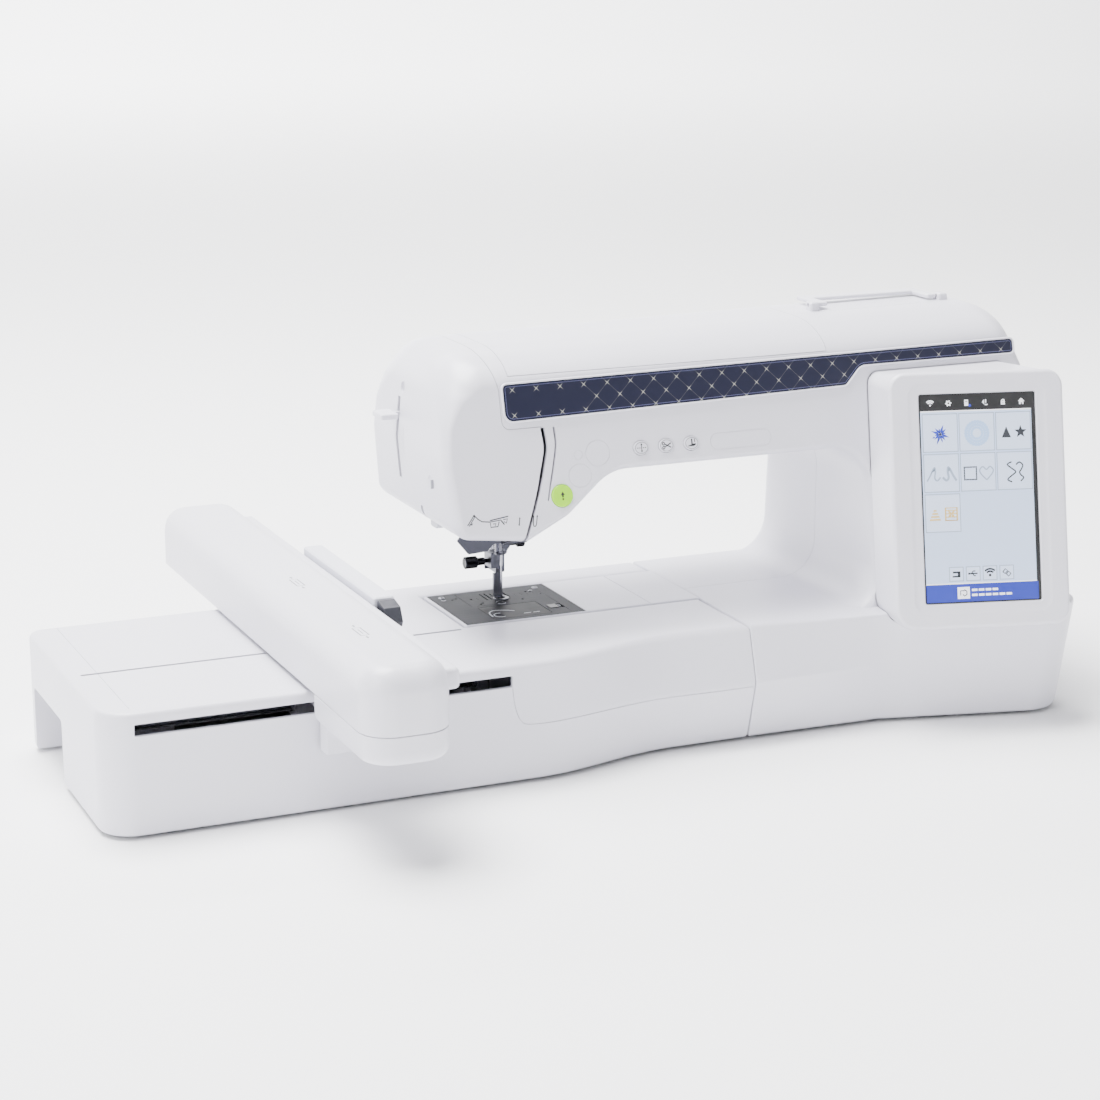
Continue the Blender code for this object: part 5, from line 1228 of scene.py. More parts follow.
star = [(math.cos(math.pi / 2 + turn * math.pi / 5) * (1 if turn % 2 == 0 else 0.42),
         math.sin(math.pi / 2 + turn * math.pi / 5) * (1 if turn % 2 == 0 else 0.42))
        for turn in range(10)]
picture("tile_solid_shapes", panel_ink,
        [scaled([(-0.8, -0.9), (0.8, -0.9), (0, 0.95)], *middle_of(2, -62), 50),
         scaled(star, *middle_of(2, 62), 56)], 4)
curl = eased([(-1.0, -0.9), (-0.55, -0.2), (-0.1, 0.7), (0.15, 0.9), (0.2, 0.3), (0.1, -0.5),
              (0.45, -0.85), (0.9, -0.4)])
picture("tile_scrolls", panel_line,
        [scaled(stroke(curl, 0.14), *middle_of(3, -66), 62),
         scaled(stroke([(-point.x, point.y) for point in curl], 0.2), *middle_of(3, 66), 62)], 4)
scallops = [arc(a, b, 0.13, 0, 315, 7) for step in range(9)
            for a, b in ((-1 + step / 4, 1), (-1 + step / 4, -1), (1, -1 + step / 4),
                         (-1, -1 + step / 4))]
heart = eased([(0, -0.95), (-0.75, -0.15), (-0.95, 0.4), (-0.5, 0.85), (0, 0.45), (0.5, 0.85),
               (0.95, 0.4), (0.75, -0.15), (0, -0.95)])
picture("tile_square", panel_ink, [scaled(shape, *middle_of(4, -68), 52) for shape in scallops], 4)
picture("tile_heart", panel_line, [scaled(stroke(heart, 0.12), *middle_of(4, 72), 62)], 4)
scroll = eased([(-0.3, 1.0), (-0.75, 0.75), (-0.3, 0.35), (0.1, 0.0), (-0.3, -0.35),
                (-0.75, -0.75), (-0.3, -1.0)])
spray = eased([(0.15, 0.7), (0.5, 0.95), (0.85, 0.65), (0.7, 0.25), (0.5, -0.05), (0.65, -0.35),
               (0.9, -0.6), (0.6, -0.95)])
picture("tile_ornament", panel_ink,
        [scaled(stroke(shape, 0.09), *middle_of(5), 84) for shape in (scroll, spray)], 4)
lace = [patch(-1, -1 + 0.5 * row, 1, -0.86 + 0.5 * row) for row in range(4)]
lace += frame_lines(-1, -1, 1, 1, 0.22)
lace += [petal(angle, 0.0, 0.8, 0.2) for angle in (45, 135, 225, 315)]
picture("tile_gold", panel_gold,
        [scaled(shape, *middle_of(6, 72), 56) for shape in lace]
        + [scaled([(-0.9 + 0.2 * row, -0.9 + 0.45 * row), (0.9 - 0.2 * row, -0.9 + 0.45 * row),
                   (0.8 - 0.2 * row, -0.65 + 0.45 * row), (-0.8 + 0.2 * row, -0.65 + 0.45 * row)],
                  *middle_of(6, -68), 56) for row in range(4)], 4)

# Four keys stand above the banner: machine, cable, signal, transfer.  The notice in the
# banner is a symbol and rows of bars.
key_machine = [patch(-0.9, -0.7, 0.9, -0.35), patch(0.3, -0.5, 0.9, 0.6),
               patch(-0.8, 0.2, 0.9, 0.6)]
key_cable = [stroke([(-1, 0), (1, 0)], 0.2), stroke([(-0.4, 0), (0, 0.55), (0.5, 0.55)], 0.16),
             stroke([(-0.1, 0), (0.2, -0.5), (0.6, -0.5)], 0.16), arc(-0.95, 0, 0.24, 0, 320, 9)]
key_swap = [stroke([(-0.9, 0.1), (-0.3, 0.8), (0.2, 0.3), (-0.4, -0.3), (-0.9, 0.1)], 0.14),
            stroke([(-0.1, -0.4), (0.4, 0.2), (0.95, -0.3), (0.4, -0.9), (-0.1, -0.4)], 0.14)]
keys = [key_machine, key_cable, signal, key_swap]
picture("picture_keys", panel_ink,
        [scaled(shape, (key[0] + key[2]) / 2, (key[1] + key[3]) / 2, 38)
         for key, shapes in zip(KEYS, keys) for shape in shapes], 4)
picture("picture_notice", panel_white,
        [patch(272, 926, 378, 982)] + [patch(396 + 60 * word, top, 444 + 60 * word, top + 11)
                                       for top, words in ((936, 4), (960, 6))
                                       for word in range(words)], 2)
picture("picture_notice_symbol", panel_ink,
        [scaled(stroke(shape, 0.2), 325, 954, 30)
         for shape in ([(-0.9, -0.7), (-0.9, 0.6), (0.2, 0.6)],
                       [(0.2, 0.9), (0.9, 0.4), (0.9, -0.5), (0.2, -0.9), (-0.3, -0.4)])], 3)

# ---------------------------------------------------------------- base plate and feet
# A pressed steel plate with a grey baked coat closes the shells from below, held by cross
# headed screws.  Four pads of dark rubber stand under it.


def softened(node, width, finish, crisp=32, steps=2, **more):
    """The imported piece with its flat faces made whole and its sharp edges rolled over."""
    shape = bmesh.new()
    shape.from_mesh(frame["nodes"][node].data)
    bmesh.ops.remove_doubles(shape, verts=shape.verts, dist=2e-6)
    bmesh.ops.dissolve_limit(shape, angle_limit=math.radians(0.6), verts=shape.verts,
                             edges=shape.edges)
    sharp = [edge for edge in shape.edges
             if len(edge.link_faces) == 2 and edge.calc_face_angle(0) > math.radians(crisp)]
    bmesh.ops.bevel(shape, geom=sharp, offset=width, offset_type="OFFSET", segments=steps,
                    profile=0.6, affect="EDGES", clamp_overlap=True)
    mesh = bpy.data.meshes.new(node + "_made")
    shape.to_mesh(mesh)
    shape.free()
    piece = bpy.data.objects.new(node + "_made", mesh)
    bpy.context.collection.objects.link(piece)
    return seat(piece, node, finish, crisp=crisp, **more)


def baked_coat(name, colour):
    """Textured powder coat on steel: a matt skin with a pebbled surface, drawn 0.8 mm apart."""
    material, tree, shader = new_material(name, colour, 0.5)
    emboss(tree, shader, pattern(tree, "Voronoi", 0.0008, "Distance"), 0.3, 0.0001)
    return material


def nitrile_rubber(name, colour):
    """Moulded nitrile rubber: nearly black, dull, a little dusty."""
    material, tree, shader = new_material(name, colour, 0.85)
    vary_colour(tree, shader, pattern(tree, "Noise", 0.002, Detail=4.0), colour, "#3A3A3E")
    return material


grey_coat = baked_coat("grey_baked_coat", "#8B8C93")
dark_rubber = nitrile_rubber("dark_rubber", "#26262A")
softened("base_plate", 0.0005, grey_coat)
for node in ("foot_front_left", "foot_front_right", "foot_rear_right", "foot_free_arm"):
    softened(node, 0.0006, dark_rubber)
PLATE_UNDER = TABLE_GAP + 0.0002
BASE_SCREWS = ((0.020, 0.185), (0.120, 0.185), (0.250, 0.150), (0.020, 0.010), (0.150, -0.002),
               (-0.060, 0.125))
seat(together("base_screws", [cross_head("Z", place, PLATE_UNDER + 0.0003, 0.0032, -1)
                              for place in BASE_SCREWS]), "base_plate", screw_zinc, shows=False)

# ---------------------------------------------------------------- free arm and needle plate
# The free arm is a white ABS sleeve level with the bed.  Let into it lies the needle plate,
# dark coated steel with its holes and engraved guide lines, and the smoked bobbin cover.


def arm_section(skin):
    """Side view of the free arm: rounded below, nearly square at the bed's level."""
    return rounded([(FREE_ARM_FRONT + skin, FREE_ARM_BOTTOM + skin, 0.012 - skin),
                    (FREE_ARM_REAR - skin, FREE_ARM_BOTTOM + skin, 0.012 - skin),
                    (FREE_ARM_REAR - skin, BED_TOP - skin, 0.0012),
                    (FREE_ARM_FRONT + skin, BED_TOP - skin, 0.0012)], 8)


def arm_rings(skin, stations):
    return [[lift(point, "X", x) for point in arm_section(skin + edge)] for x, edge in stations]


PLATE_RIGHT = -0.0905
PLATE_THICKNESS = 0.0018
PLATE_LEFT = FREE_ARM_LEFT + 0.0018 + CLEARANCE
PLATE_FRONT = FREE_ARM_FRONT + 0.0016
PLATE_REAR = FREE_ARM_REAR - 0.0016
free_arm = loft("free_arm_sleeve", arm_rings(0, (
    (FREE_ARM_LEFT, 0.0014), (FREE_ARM_LEFT + 0.0004, 0.0006), (FREE_ARM_LEFT + 0.0012, 0.0001),
    (FREE_ARM_LEFT + 0.0020, 0), (SEAM_X - CLEARANCE, 0))))
cut(free_arm,
    loft("hollow", arm_rings(WALL, ((FREE_ARM_LEFT + WALL, 0), (SEAM_X + 0.01, 0)))),
    block("recess", (PLATE_LEFT - CLEARANCE, PLATE_FRONT - CLEARANCE,
                     BED_TOP - PLATE_THICKNESS - CLEARANCE),
          (PLATE_RIGHT + CLEARANCE, PLATE_REAR + CLEARANCE, BED_TOP + 0.01)),
    block("well", (PLATE_LEFT + 0.0036, FREE_ARM_FRONT + 0.005, BED_TOP - 0.01),
          (PLATE_RIGHT - 0.0036, FREE_ARM_REAR - 0.005, BED_TOP + 0.01)),
    block("seam", (PLATE_RIGHT + 0.0525, FREE_ARM_FRONT - 0.01, BED_TOP - 0.0005),
          (PLATE_RIGHT + 0.0530, FREE_ARM_REAR + 0.01, BED_TOP + 0.01)))
seat(free_arm, "free_arm_cover", white_abs)


def coated_steel(name, colour):
    """Stamped steel, ground and dark coated: satin metal with grinding lines 0.5 mm apart."""
    material, tree, shader = new_material(name, colour, 0.5, 0.1, {"Specular IOR Level": 0.14})
    where = add(tree, "ShaderNodeTexCoord").outputs["Object"]
    along = add(tree, "ShaderNodeMapping", {"Vector": where, "Scale": (60.0, 2000.0, 60.0)})
    lines = add(tree, "ShaderNodeTexNoise", {"Vector": along.outputs["Vector"], "Scale": 1.0,
                                             "Detail": 2.0}).outputs["Fac"]
    vary_gloss(tree, shader, lines, 0.46, 0.60)
    emboss(tree, shader, lines, 0.15, 0.00003)
    return material


dark_steel = coated_steel("dark_coated_steel", "#25262C")
COVER = (NEEDLE_X - 0.024, 0.0895, NEEDLE_X + 0.022, 0.1225)
LATCH = (COVER[2] + 0.003, 0.100, COVER[2] + 0.015, 0.110)
plate_low = BED_TOP - PLATE_THICKNESS
plate_outline = rectangle(PLATE_LEFT, PLATE_FRONT, PLATE_RIGHT, PLATE_REAR, 0.0008, 3)
plate = stacked("needle_plate_stamping", plate_outline, "Z", [
    (plate_low, 0), (BED_TOP - 0.0004, 0), (BED_TOP - 0.0001, 0.0001), (BED_TOP, 0.0005)])
cut(plate,
    block("cover_hole", (COVER[0] - CLEARANCE, COVER[1] - CLEARANCE, 0.08),
          (COVER[2] + CLEARANCE, COVER[3] + CLEARANCE, 0.1), 0.0015),
    [turned("needle_hole", "Z", NEEDLE_AXIS, [(0.08, 0.0017), (BED_TOP - 0.0006, 0.0017),
                                              (BED_TOP + 0.0002, 0.0025), (0.1, 0.0025)]),
     block("latch_hole", (LATCH[0], LATCH[1], 0.08), (LATCH[2], LATCH[3], 0.1), 0.0008)])
ENGRAVED = 0.00035
lines = [block("line", (NEEDLE_X - 0.0265 - 0.0004, 0.1275, BED_TOP - ENGRAVED),
               (NEEDLE_X - 0.0265, PLATE_REAR - 0.004, BED_TOP + 0.01)),
         block("line", (NEEDLE_X - 0.0230, 0.1265, BED_TOP - ENGRAVED),
               (NEEDLE_X - 0.0030, 0.1269, BED_TOP + 0.01)),
         block("line", (PLATE_RIGHT - 0.0100, 0.0880, BED_TOP - ENGRAVED),
               (PLATE_RIGHT - 0.0097, PLATE_REAR - 0.004, BED_TOP + 0.01))]
for side, marks in ((1, 6), (-1, 3)):
    for mark in range(marks):
        ends = sorted((side * (0.010 + 0.005 * mark), side * (0.0103 + 0.005 * mark)))
        lines.append(block("line", (NEEDLE_X + ends[0], 0.1425, BED_TOP - ENGRAVED),
                           (NEEDLE_X + ends[1], 0.1475, BED_TOP + 0.01)))
cut(plate, lines)
DOG_SLOTS = ((-0.0095, 0.0045, 0.0220), (-0.0060, 0.0045, 0.0220), (0.0048, 0.0045, 0.0220),
             (0.0083, 0.0045, 0.0220), (-0.0022, 0.0120, 0.0200), (0.0010, 0.0120, 0.0200))
cut(plate, [block("dog_slot", (NEEDLE_X + x, NEEDLE_Y + front, 0.08),
                  (NEEDLE_X + x + 0.0012, NEEDLE_Y + rear, 0.1), 0.0005)
            for x, front, rear in DOG_SLOTS])
DIMPLES = ((-0.0335, 0.150), (-0.0300, 0.152), (-0.0180, 0.131), (-0.0155, 0.1335),
           (0.0160, 0.132), (0.0260, 0.150), (0.0292, 0.1485), (0.0340, 0.140), (-0.0200, 0.146))
cut(plate, [rod("dimple", "Z", (NEEDLE_X + x, y), 0.0011, BED_TOP - 0.0009, 0.1, 16)
            for x, y in DIMPLES])
seat(plate, "needle_plate", dark_steel)
plate_screws = [cross_head("Z", place, BED_TOP - 0.0009, 0.0026, 1)
                for place in ((-0.176, 0.158), (-0.100, 0.158))]
seat(together("plate_screws", plate_screws), "needle_plate", screw_zinc, shows=False)
plate_marks = [stroke([(-41.5, 152), (-40.0, 150.5), (-38.4, 151.0)], 0.5),
               stroke([(29.0, 151.5), (30.6, 153.0), (32.4, 151.6)], 0.5),
               stroke(arc(-2.5, 130.2, 3.2, 30, 150), 0.5),
               stroke(arc(-2.5, 129.0, 3.2, 200, 340), 0.4),
               stroke([(30.0, 107.0), (34.4, 107.0), (34.4, 104.8)], 0.6),
               [(33.4, 105.0), (35.4, 105.0), (34.4, 103.2)]]
bright_ink = print_ink("bright_ink", "#C9CBD2")


def bed_spot(a, b, height):
    """A place on the bed for printing, its shapes drawn in millimetres."""
    return Vector((NEEDLE_X + a / 1000, b / 1000, BED_TOP + height))


printed("plate_marks", "needle_plate", bright_ink, plate_marks, bed_spot)


def smoked_acrylic():
    """Smoked acrylic sheet: dark and hard, with a fine matt texture from its mould."""
    material, tree, shader = new_material("smoked_acrylic", "#15161A", 0.2, more={
        "Specular IOR Level": 0.12, "IOR": 1.49, "Transmission Weight": 0.08})
    vary_gloss(tree, shader, pattern(tree, "Noise", 0.01), 0.42, 0.55)
    return material


smoked = smoked_acrylic()
cover_sheet = block("bobbin_cover_sheet", (COVER[0], COVER[1], plate_low + 0.0002),
                    (COVER[2], COVER[3], BED_TOP), 0.0004)
thumb = turned("thumb", "Z", (COVER[0] + 0.0060, COVER[1] + 0.0080), [
    (BED_TOP - 0.0008, 0.0032), (BED_TOP - 0.0004, 0.0045), (BED_TOP + 0.0002, 0.0056)])
cut(cover_sheet, thumb)
seat(cover_sheet, "bobbin_cover", smoked)
thread_path = eased([(-0.0225, 0.0965), (-0.0215, 0.1060), (-0.0165, 0.1110), (-0.0080, 0.1090),
                     (-0.0020, 0.1050)])
cover_marks = [stroke([(point.x * 1000, point.y * 1000) for point in thread_path], 0.6),
               stroke(arc(-15.5, 98.5, 5.0, 70, 290), 0.5),
               stroke([(2.0, 96.0), (7.5, 96.0)], 0.5), stroke([(9.5, 96.0), (13.5, 96.0)], 0.5),
               [(13.0, 95.2), (13.0, 96.8), (15.0, 96.0)]]
printed("cover_marks", "bobbin_cover", bright_ink, cover_marks, bed_spot)
softened("cover_latch", 0.0003, moulded_abs("black_acetal", "#1B1B1E", 0.36))

# ---------------------------------------------------------------- hook and bobbin
# A ground steel rotary hook turns round a black bobbin case that holds a clear bobbin wound
# with thread; behind the needle four rows of hardened teeth feed the cloth.
ground_steel = zinc_plate("ground_steel", "#C5C6CB", 0.24)
hard_steel = zinc_plate("hardened_steel", "#A2A3A8", 0.34)
softened("rotary_hook", 0.0003, ground_steel)
softened("bobbin_case", 0.0003, moulded_abs("black_case", "#232327", 0.4))


def clear_styrene():
    """Clear polystyrene: colourless, hard and glossy."""
    material, tree, shader = new_material("clear_styrene", "#E6ECF0", 0.08, more={
        "IOR": 1.59, "Transmission Weight": 0.85})
    vary_gloss(tree, shader, pattern(tree, "Noise", 0.004), 0.05, 0.14)
    return material


def spun_thread(name, colour):
    """Polyester thread wound side by side, about 0.4 mm apart: soft ridges round the bobbin."""
    material, tree, shader = new_material(name, colour, 0.6)
    where = add(tree, "ShaderNodeTexCoord").outputs["Object"]
    wound = add(tree, "ShaderNodeTexWave", {"Vector": where, "Scale": 1 / 0.0012,
                                            "Distortion": 1.5}, bands_direction="Z")
    emboss(tree, shader, wound.outputs["Fac"], 0.6, 0.0002)
    return material


softened("bobbin", 0.0002, clear_styrene())
bobbin_low, bobbin_high = packed_box("bobbin")
hub = (bobbin_low + bobbin_high) / 2
reel = turned("bobbin_thread", "Z", (hub.x, hub.y), [
    (bobbin_low.z + 0.0016, 0.0090), (bobbin_low.z + 0.0030, 0.0094), (hub.z, 0.0095),
    (bobbin_high.z - 0.0030, 0.0094), (bobbin_high.z - 0.0016, 0.0090)], 48)
cut(reel, rod("hub", "Z", (hub.x, hub.y), 0.0077, 0.05, 0.09))
seat(reel, "bobbin", spun_thread("white_thread", "#EDEDE8"), shows=False)
dog_low, dog_high = packed_box("feed_dog")
dog = block("feed_dog_teeth", dog_low, (dog_high.x, dog_high.y, dog_low.z + 0.006), 0.0006)
rows = []
for x, front, rear in DOG_SLOTS:
    rows.append(block("row", (NEEDLE_X + x + 0.0002, NEEDLE_Y + front + 0.0014, dog_low.z + 0.005),
                      (NEEDLE_X + x + 0.0010, NEEDLE_Y + rear - 0.0012, dog_high.z)))
join(dog, together("rows", rows))
TOOTH = 0.0013
for index in range(12):
    y = NEEDLE_Y + 0.0052 + TOOTH * index
    cut(dog, prism("gap", [(y, dog_high.z + 0.0005), (y + TOOTH * 0.9, dog_high.z - 0.0009),
                           (y + TOOTH * 0.9, dog_high.z + 0.0005)], "X", NEEDLE_X - 0.02,
                   NEEDLE_X + 0.02))
seat(dog, "feed_dog", hard_steel)

# ---------------------------------------------------------------- needle and presser foot
# Ground steel bars carry the dark needle clamp with its thumb screw, the needle, and the
# embroidery foot: a bent nickel shank with a ring, held by a large knurled screw.
CLAMP_BOTTOM = BED_TOP + 0.036
FOOT_TOP = BED_TOP + 0.0355
dark_nickel = zinc_plate("dark_nickel", "#6A6B73", 0.28)
foot_nickel = zinc_plate("foot_nickel", "#5E5F67", 0.30)
black_oxide = zinc_plate("black_oxide", "#2B2B30", 0.30)
softened("needle_bar", 0.0004, ground_steel)
softened("presser_bar", 0.0004, ground_steel)


def knurled(name, axis, centre, radius, low, high, flutes=24, groove=0.0003):
    """Round head with fluted sides and chamfered ends."""
    rings = []
    for along, share in ((low, 0.86), (low + 0.0006, 1.0), (high - 0.0006, 1.0), (high, 0.86)):
        ring = []
        for index in range(flutes * 2):
            angle = math.pi * index / flutes
            reach = radius * share - (groove if index % 2 else 0)
            ring.append(lift((centre[0] + reach * math.cos(angle),
                              centre[1] + reach * math.sin(angle)), axis, along))
        rings.append(ring)
    return loft(name, rings)


clamp_axis = (NEEDLE_Y, CLAMP_BOTTOM + 0.007)
clamp = turned("needle_clamp_body", "Z", NEEDLE_AXIS, [
    (CLAMP_BOTTOM, 0.0034), (CLAMP_BOTTOM + 0.0004, 0.0040), (CLAMP_BOTTOM + 0.0015, 0.0047),
    (CLAMP_BOTTOM + 0.0120, 0.0047), (CLAMP_BOTTOM + 0.0130, 0.0044),
    (CLAMP_BOTTOM + 0.0141, 0.0038)])
cut(clamp,
    rod("bore", "Z", NEEDLE_AXIS, 0.0010, CLAMP_BOTTOM - 0.01, CLAMP_BOTTOM + 0.006),
    block("slot", (NEEDLE_X - 0.0004, NEEDLE_Y - 0.006, CLAMP_BOTTOM - 0.01),
          (NEEDLE_X + 0.0004, NEEDLE_Y - 0.0008, CLAMP_BOTTOM + 0.0095)),
    block("flat", (NEEDLE_X - 0.006, NEEDLE_Y - 0.006, CLAMP_BOTTOM + 0.0025),
          (NEEDLE_X + 0.006, NEEDLE_Y - 0.0036, CLAMP_BOTTOM + 0.0115)))
seat(clamp, "needle_clamp", dark_nickel)
clamp_screw = join(rod("clamp_screw", "X", clamp_axis, 0.0014, NEEDLE_X + 0.003, NEEDLE_X + 0.014),
                   knurled("head", "X", clamp_axis, 0.0030, NEEDLE_X + 0.0125,
                           NEEDLE_X + 0.0185, 16, 0.0002))
seat(clamp_screw, "needle_clamp", black_oxide, shows=False)
guide_hook = [(0.0046, -0.001), (0.0062, -0.001), (0.0062, 0.0040), (0.0056, 0.0046),
              (0.0050, 0.0042), (0.0056, 0.0034), (0.0056, 0.0), (0.0046, 0.0)]
guide = prism("thread_guide", [(NEEDLE_X - a, NEEDLE_Y - 0.002 - b) for a, b in guide_hook], "Z",
              CLAMP_BOTTOM + 0.001, CLAMP_BOTTOM + 0.002)
seat(guide, "needle_clamp", foot_nickel, shows=False)

needle_shape = turned("needle_shape", "Z", NEEDLE_AXIS, [
    (CLAMP_BOTTOM - 0.0320, 0.00005), (CLAMP_BOTTOM - 0.0310, 0.00022),
    (CLAMP_BOTTOM - 0.0290, 0.00042), (CLAMP_BOTTOM - 0.0282, 0.00044),
    (CLAMP_BOTTOM - 0.0110, 0.00045), (CLAMP_BOTTOM - 0.0085, 0.00095),
    (CLAMP_BOTTOM + 0.0055, 0.00095)], 24)
cut(needle_shape, block("eye", (NEEDLE_X - 0.00018, NEEDLE_Y - 0.002, CLAMP_BOTTOM - 0.0286),
                        (NEEDLE_X + 0.00018, NEEDLE_Y + 0.002, CLAMP_BOTTOM - 0.0270)),
    block("groove", (NEEDLE_X - 0.00012, NEEDLE_Y - 0.002, CLAMP_BOTTOM - 0.0270),
          (NEEDLE_X + 0.00012, NEEDLE_Y - 0.00028, CLAMP_BOTTOM - 0.0110)))
seat(needle_shape, "needle", zinc_plate("polished_nickel", "#D9DADD", 0.12))

foot = block("foot_shank", (NEEDLE_X - 0.0055, NEEDLE_Y + 0.0058, FOOT_TOP - 0.0155),
             (NEEDLE_X + 0.0055, PRESSER_Y + 0.0050, FOOT_TOP), 0.0010)
leg = [(NEEDLE_Y + 0.0059, FOOT_TOP - 0.0120), (NEEDLE_Y + 0.0059, BED_TOP + 0.0060),
       (NEEDLE_Y + 0.0052, BED_TOP + 0.0030), (NEEDLE_Y + 0.0040, BED_TOP + 0.0024),
       (NEEDLE_Y + 0.0040, BED_TOP + 0.0012), (NEEDLE_Y + 0.0070, BED_TOP + 0.0014),
       (NEEDLE_Y + 0.0084, BED_TOP + 0.0060), (NEEDLE_Y + 0.0084, FOOT_TOP - 0.0120)]
join(foot, prism("leg", leg, "X", NEEDLE_X - 0.0034, NEEDLE_X + 0.0034),
     turned("ring", "Z", NEEDLE_AXIS, [
         (BED_TOP + 0.0009, 0.0054), (BED_TOP + 0.0013, 0.0061), (BED_TOP + 0.0021, 0.0061),
         (BED_TOP + 0.0025, 0.0054)], 48))
cut(foot, turned("eye", "Z", NEEDLE_AXIS, [
    (BED_TOP, 0.0038), (BED_TOP + 0.0012, 0.0031), (BED_TOP + 0.0022, 0.0031),
    (BED_TOP + 0.0035, 0.0042)], 40),
    block("window", (NEEDLE_X - 0.0016, NEEDLE_Y, FOOT_TOP - 0.0135),
          (NEEDLE_X + 0.0016, NEEDLE_Y + 0.0070, FOOT_TOP - 0.0060), 0.0006),
    block("notch", (NEEDLE_X - 0.0056, NEEDLE_Y, FOOT_TOP - 0.0160),
          (NEEDLE_X - 0.0020, NEEDLE_Y + 0.02, FOOT_TOP - 0.0118)))
seat(foot, "embroidery_foot", foot_nickel)
screw_axis = (PRESSER_Y, FOOT_TOP - 0.0080)
foot_screw = join(turned("foot_screw_turned", "X", screw_axis, [
    (NEEDLE_X - 0.0140, 0.0022), (NEEDLE_X - 0.0125, 0.0029), (NEEDLE_X - 0.0077, 0.0029),
    (NEEDLE_X - 0.0073, 0.0016), (NEEDLE_X - 0.0012, 0.0016)]),
    knurled("head", "X", screw_axis, 0.0046, NEEDLE_X - 0.0235, NEEDLE_X - 0.0135, 22, 0.00035))
cut(foot_screw, block("slot", (NEEDLE_X - 0.0245, PRESSER_Y - 0.0005, FOOT_TOP - 0.02),
                      (NEEDLE_X - 0.0222, PRESSER_Y + 0.0005, FOOT_TOP)))
seat(foot_screw, "foot_screw", black_oxide)
dark_zinc = zinc_plate("dark_zinc", "#46474F", 0.36)
softened("threader_bracket", 0.0004, dark_zinc)
hanging = prism("hanging_plate", rounded([
    (NEEDLE_X - 0.0420, 0.1420, 0.0008), (NEEDLE_X - 0.0330, 0.1310, 0.0012),
    (NEEDLE_X - 0.0180, 0.1320, 0.0012), (NEEDLE_X - 0.0130, 0.1370, 0),
    (NEEDLE_X - 0.0075, 0.1370, 0), (NEEDLE_X - 0.0030, 0.1300, 0.0012),
    (NEEDLE_X + 0.0020, 0.1370, 0), (NEEDLE_X + 0.0105, 0.1385, 0.0008),
    (NEEDLE_X + 0.0105, 0.1560, 0), (NEEDLE_X - 0.0300, 0.1560, 0)], 3), "Y", 0.1175, 0.1187)
seat(hanging, "threader_bracket", dark_zinc, shows=False)
folded = prism("folded_edge", [(0.1187, 0.1500), (0.1240, 0.1500), (0.1240, 0.1508),
                               (0.1187, 0.1560)], "X", NEEDLE_X - 0.0290, NEEDLE_X + 0.0100)
seat(folded, "threader_bracket", dark_zinc, shows=False)
threading_arm = rod("threading_arm", "X", (0.1160, 0.1372), 0.0010, NEEDLE_X - 0.0060,
                    NEEDLE_X + 0.0125, 20)
seat(threading_arm, "threader_bracket", foot_nickel, shows=False)
arm_sleeve = turned("arm_sleeve", "X", (0.1160, 0.1388), [
    (NEEDLE_X - 0.0070, 0.0006), (NEEDLE_X - 0.0068, 0.0009), (NEEDLE_X + 0.0080, 0.0009),
    (NEEDLE_X + 0.0086, 0.0019), (NEEDLE_X + 0.0130, 0.0020), (NEEDLE_X + 0.0142, 0.0012)], 20)
seat(arm_sleeve, "threader_bracket", moulded_abs("black_tip", "#141416", 0.35), shows=False)
softened("threader_lever", 0.0007, white_abs)
blade = block("cutter_blade", (HEAD_LEFT + 0.0004, 0.0690, 0.1955),
              (HEAD_LEFT + 0.0030, 0.0696, 0.2020), 0.0002)
seat(blade, "face_cover", hard_steel, shows=False)
tab = prism("thread_tab", rounded([(0.0915, 0.1600, 0.002), (0.1040, 0.1600, 0.002),
                                   (0.1040, 0.1685, 0.001), (0.0915, 0.1685, 0.001)], 4), "X",
            -0.2045, -0.1990)
seat(tab, "face_cover", moulded_abs("tab_abs", "#C9CAD2", 0.34), shows=False)
softened("presser_lever", 0.0008, moulded_abs("grey_nylon", "#5E5F66", 0.42))
softened("take_up_lever", 0.0003, zinc_plate("polished_steel", "#C9CACD", 0.16))

# ---------------------------------------------------------------- drive
# Turned steel shafts, nylon pulleys with a toothed belt, a black motor can and the white
# handwheel at the right, whose rim is scalloped for the fingers.
turned_steel = zinc_plate("turned_steel", "#A9AAAF", 0.30)
nylon_grey = moulded_abs("pulley_nylon", "#60616A", 0.45)
softened("upper_shaft", 0.0004, turned_steel)
softened("upper_pulley", 0.0003, nylon_grey)
softened("lower_shaft", 0.0003, turned_steel)
softened("main_motor", 0.0008, baked_coat("black_coat", "#232327"))
softened("motor_rotor", 0.0003, turned_steel)
softened("timing_belt", 0.0002, nitrile_rubber("neoprene", "#1E1E20"))

HANDWHEEL_RADIUS = 0.028
wheel_low, wheel_high = packed_box("handwheel")
WHEEL_FACE = wheel_high.x
SCALLOPS = 10
rings = []
for along, shrink, depth in (
        (wheel_low.x, 0.0030, 1.0), (wheel_low.x + 0.0007, 0.0012, 1.0),
        (wheel_low.x + 0.0020, 0, 1.0), (WHEEL_FACE - 0.0040, 0, 1.0),
        (WHEEL_FACE - 0.0022, 0.0008, 0.9), (WHEEL_FACE - 0.0008, 0.0024, 0.7),
        (WHEEL_FACE, 0.0048, 0.4)):
    ring = []
    for index in range(SCALLOPS * 16):
        angle = 2 * math.pi * index / (SCALLOPS * 16)
        share = max(0.0, math.cos(SCALLOPS * angle)) ** 1.5
        reach = HANDWHEEL_RADIUS - shrink - 0.0019 * share * depth
        ring.append(Vector((along, NEEDLE_Y + reach * math.cos(angle),
                            UPPER_SHAFT_Z + reach * math.sin(angle))))
    rings.append(ring)
handwheel = loft("handwheel_moulding", rings)
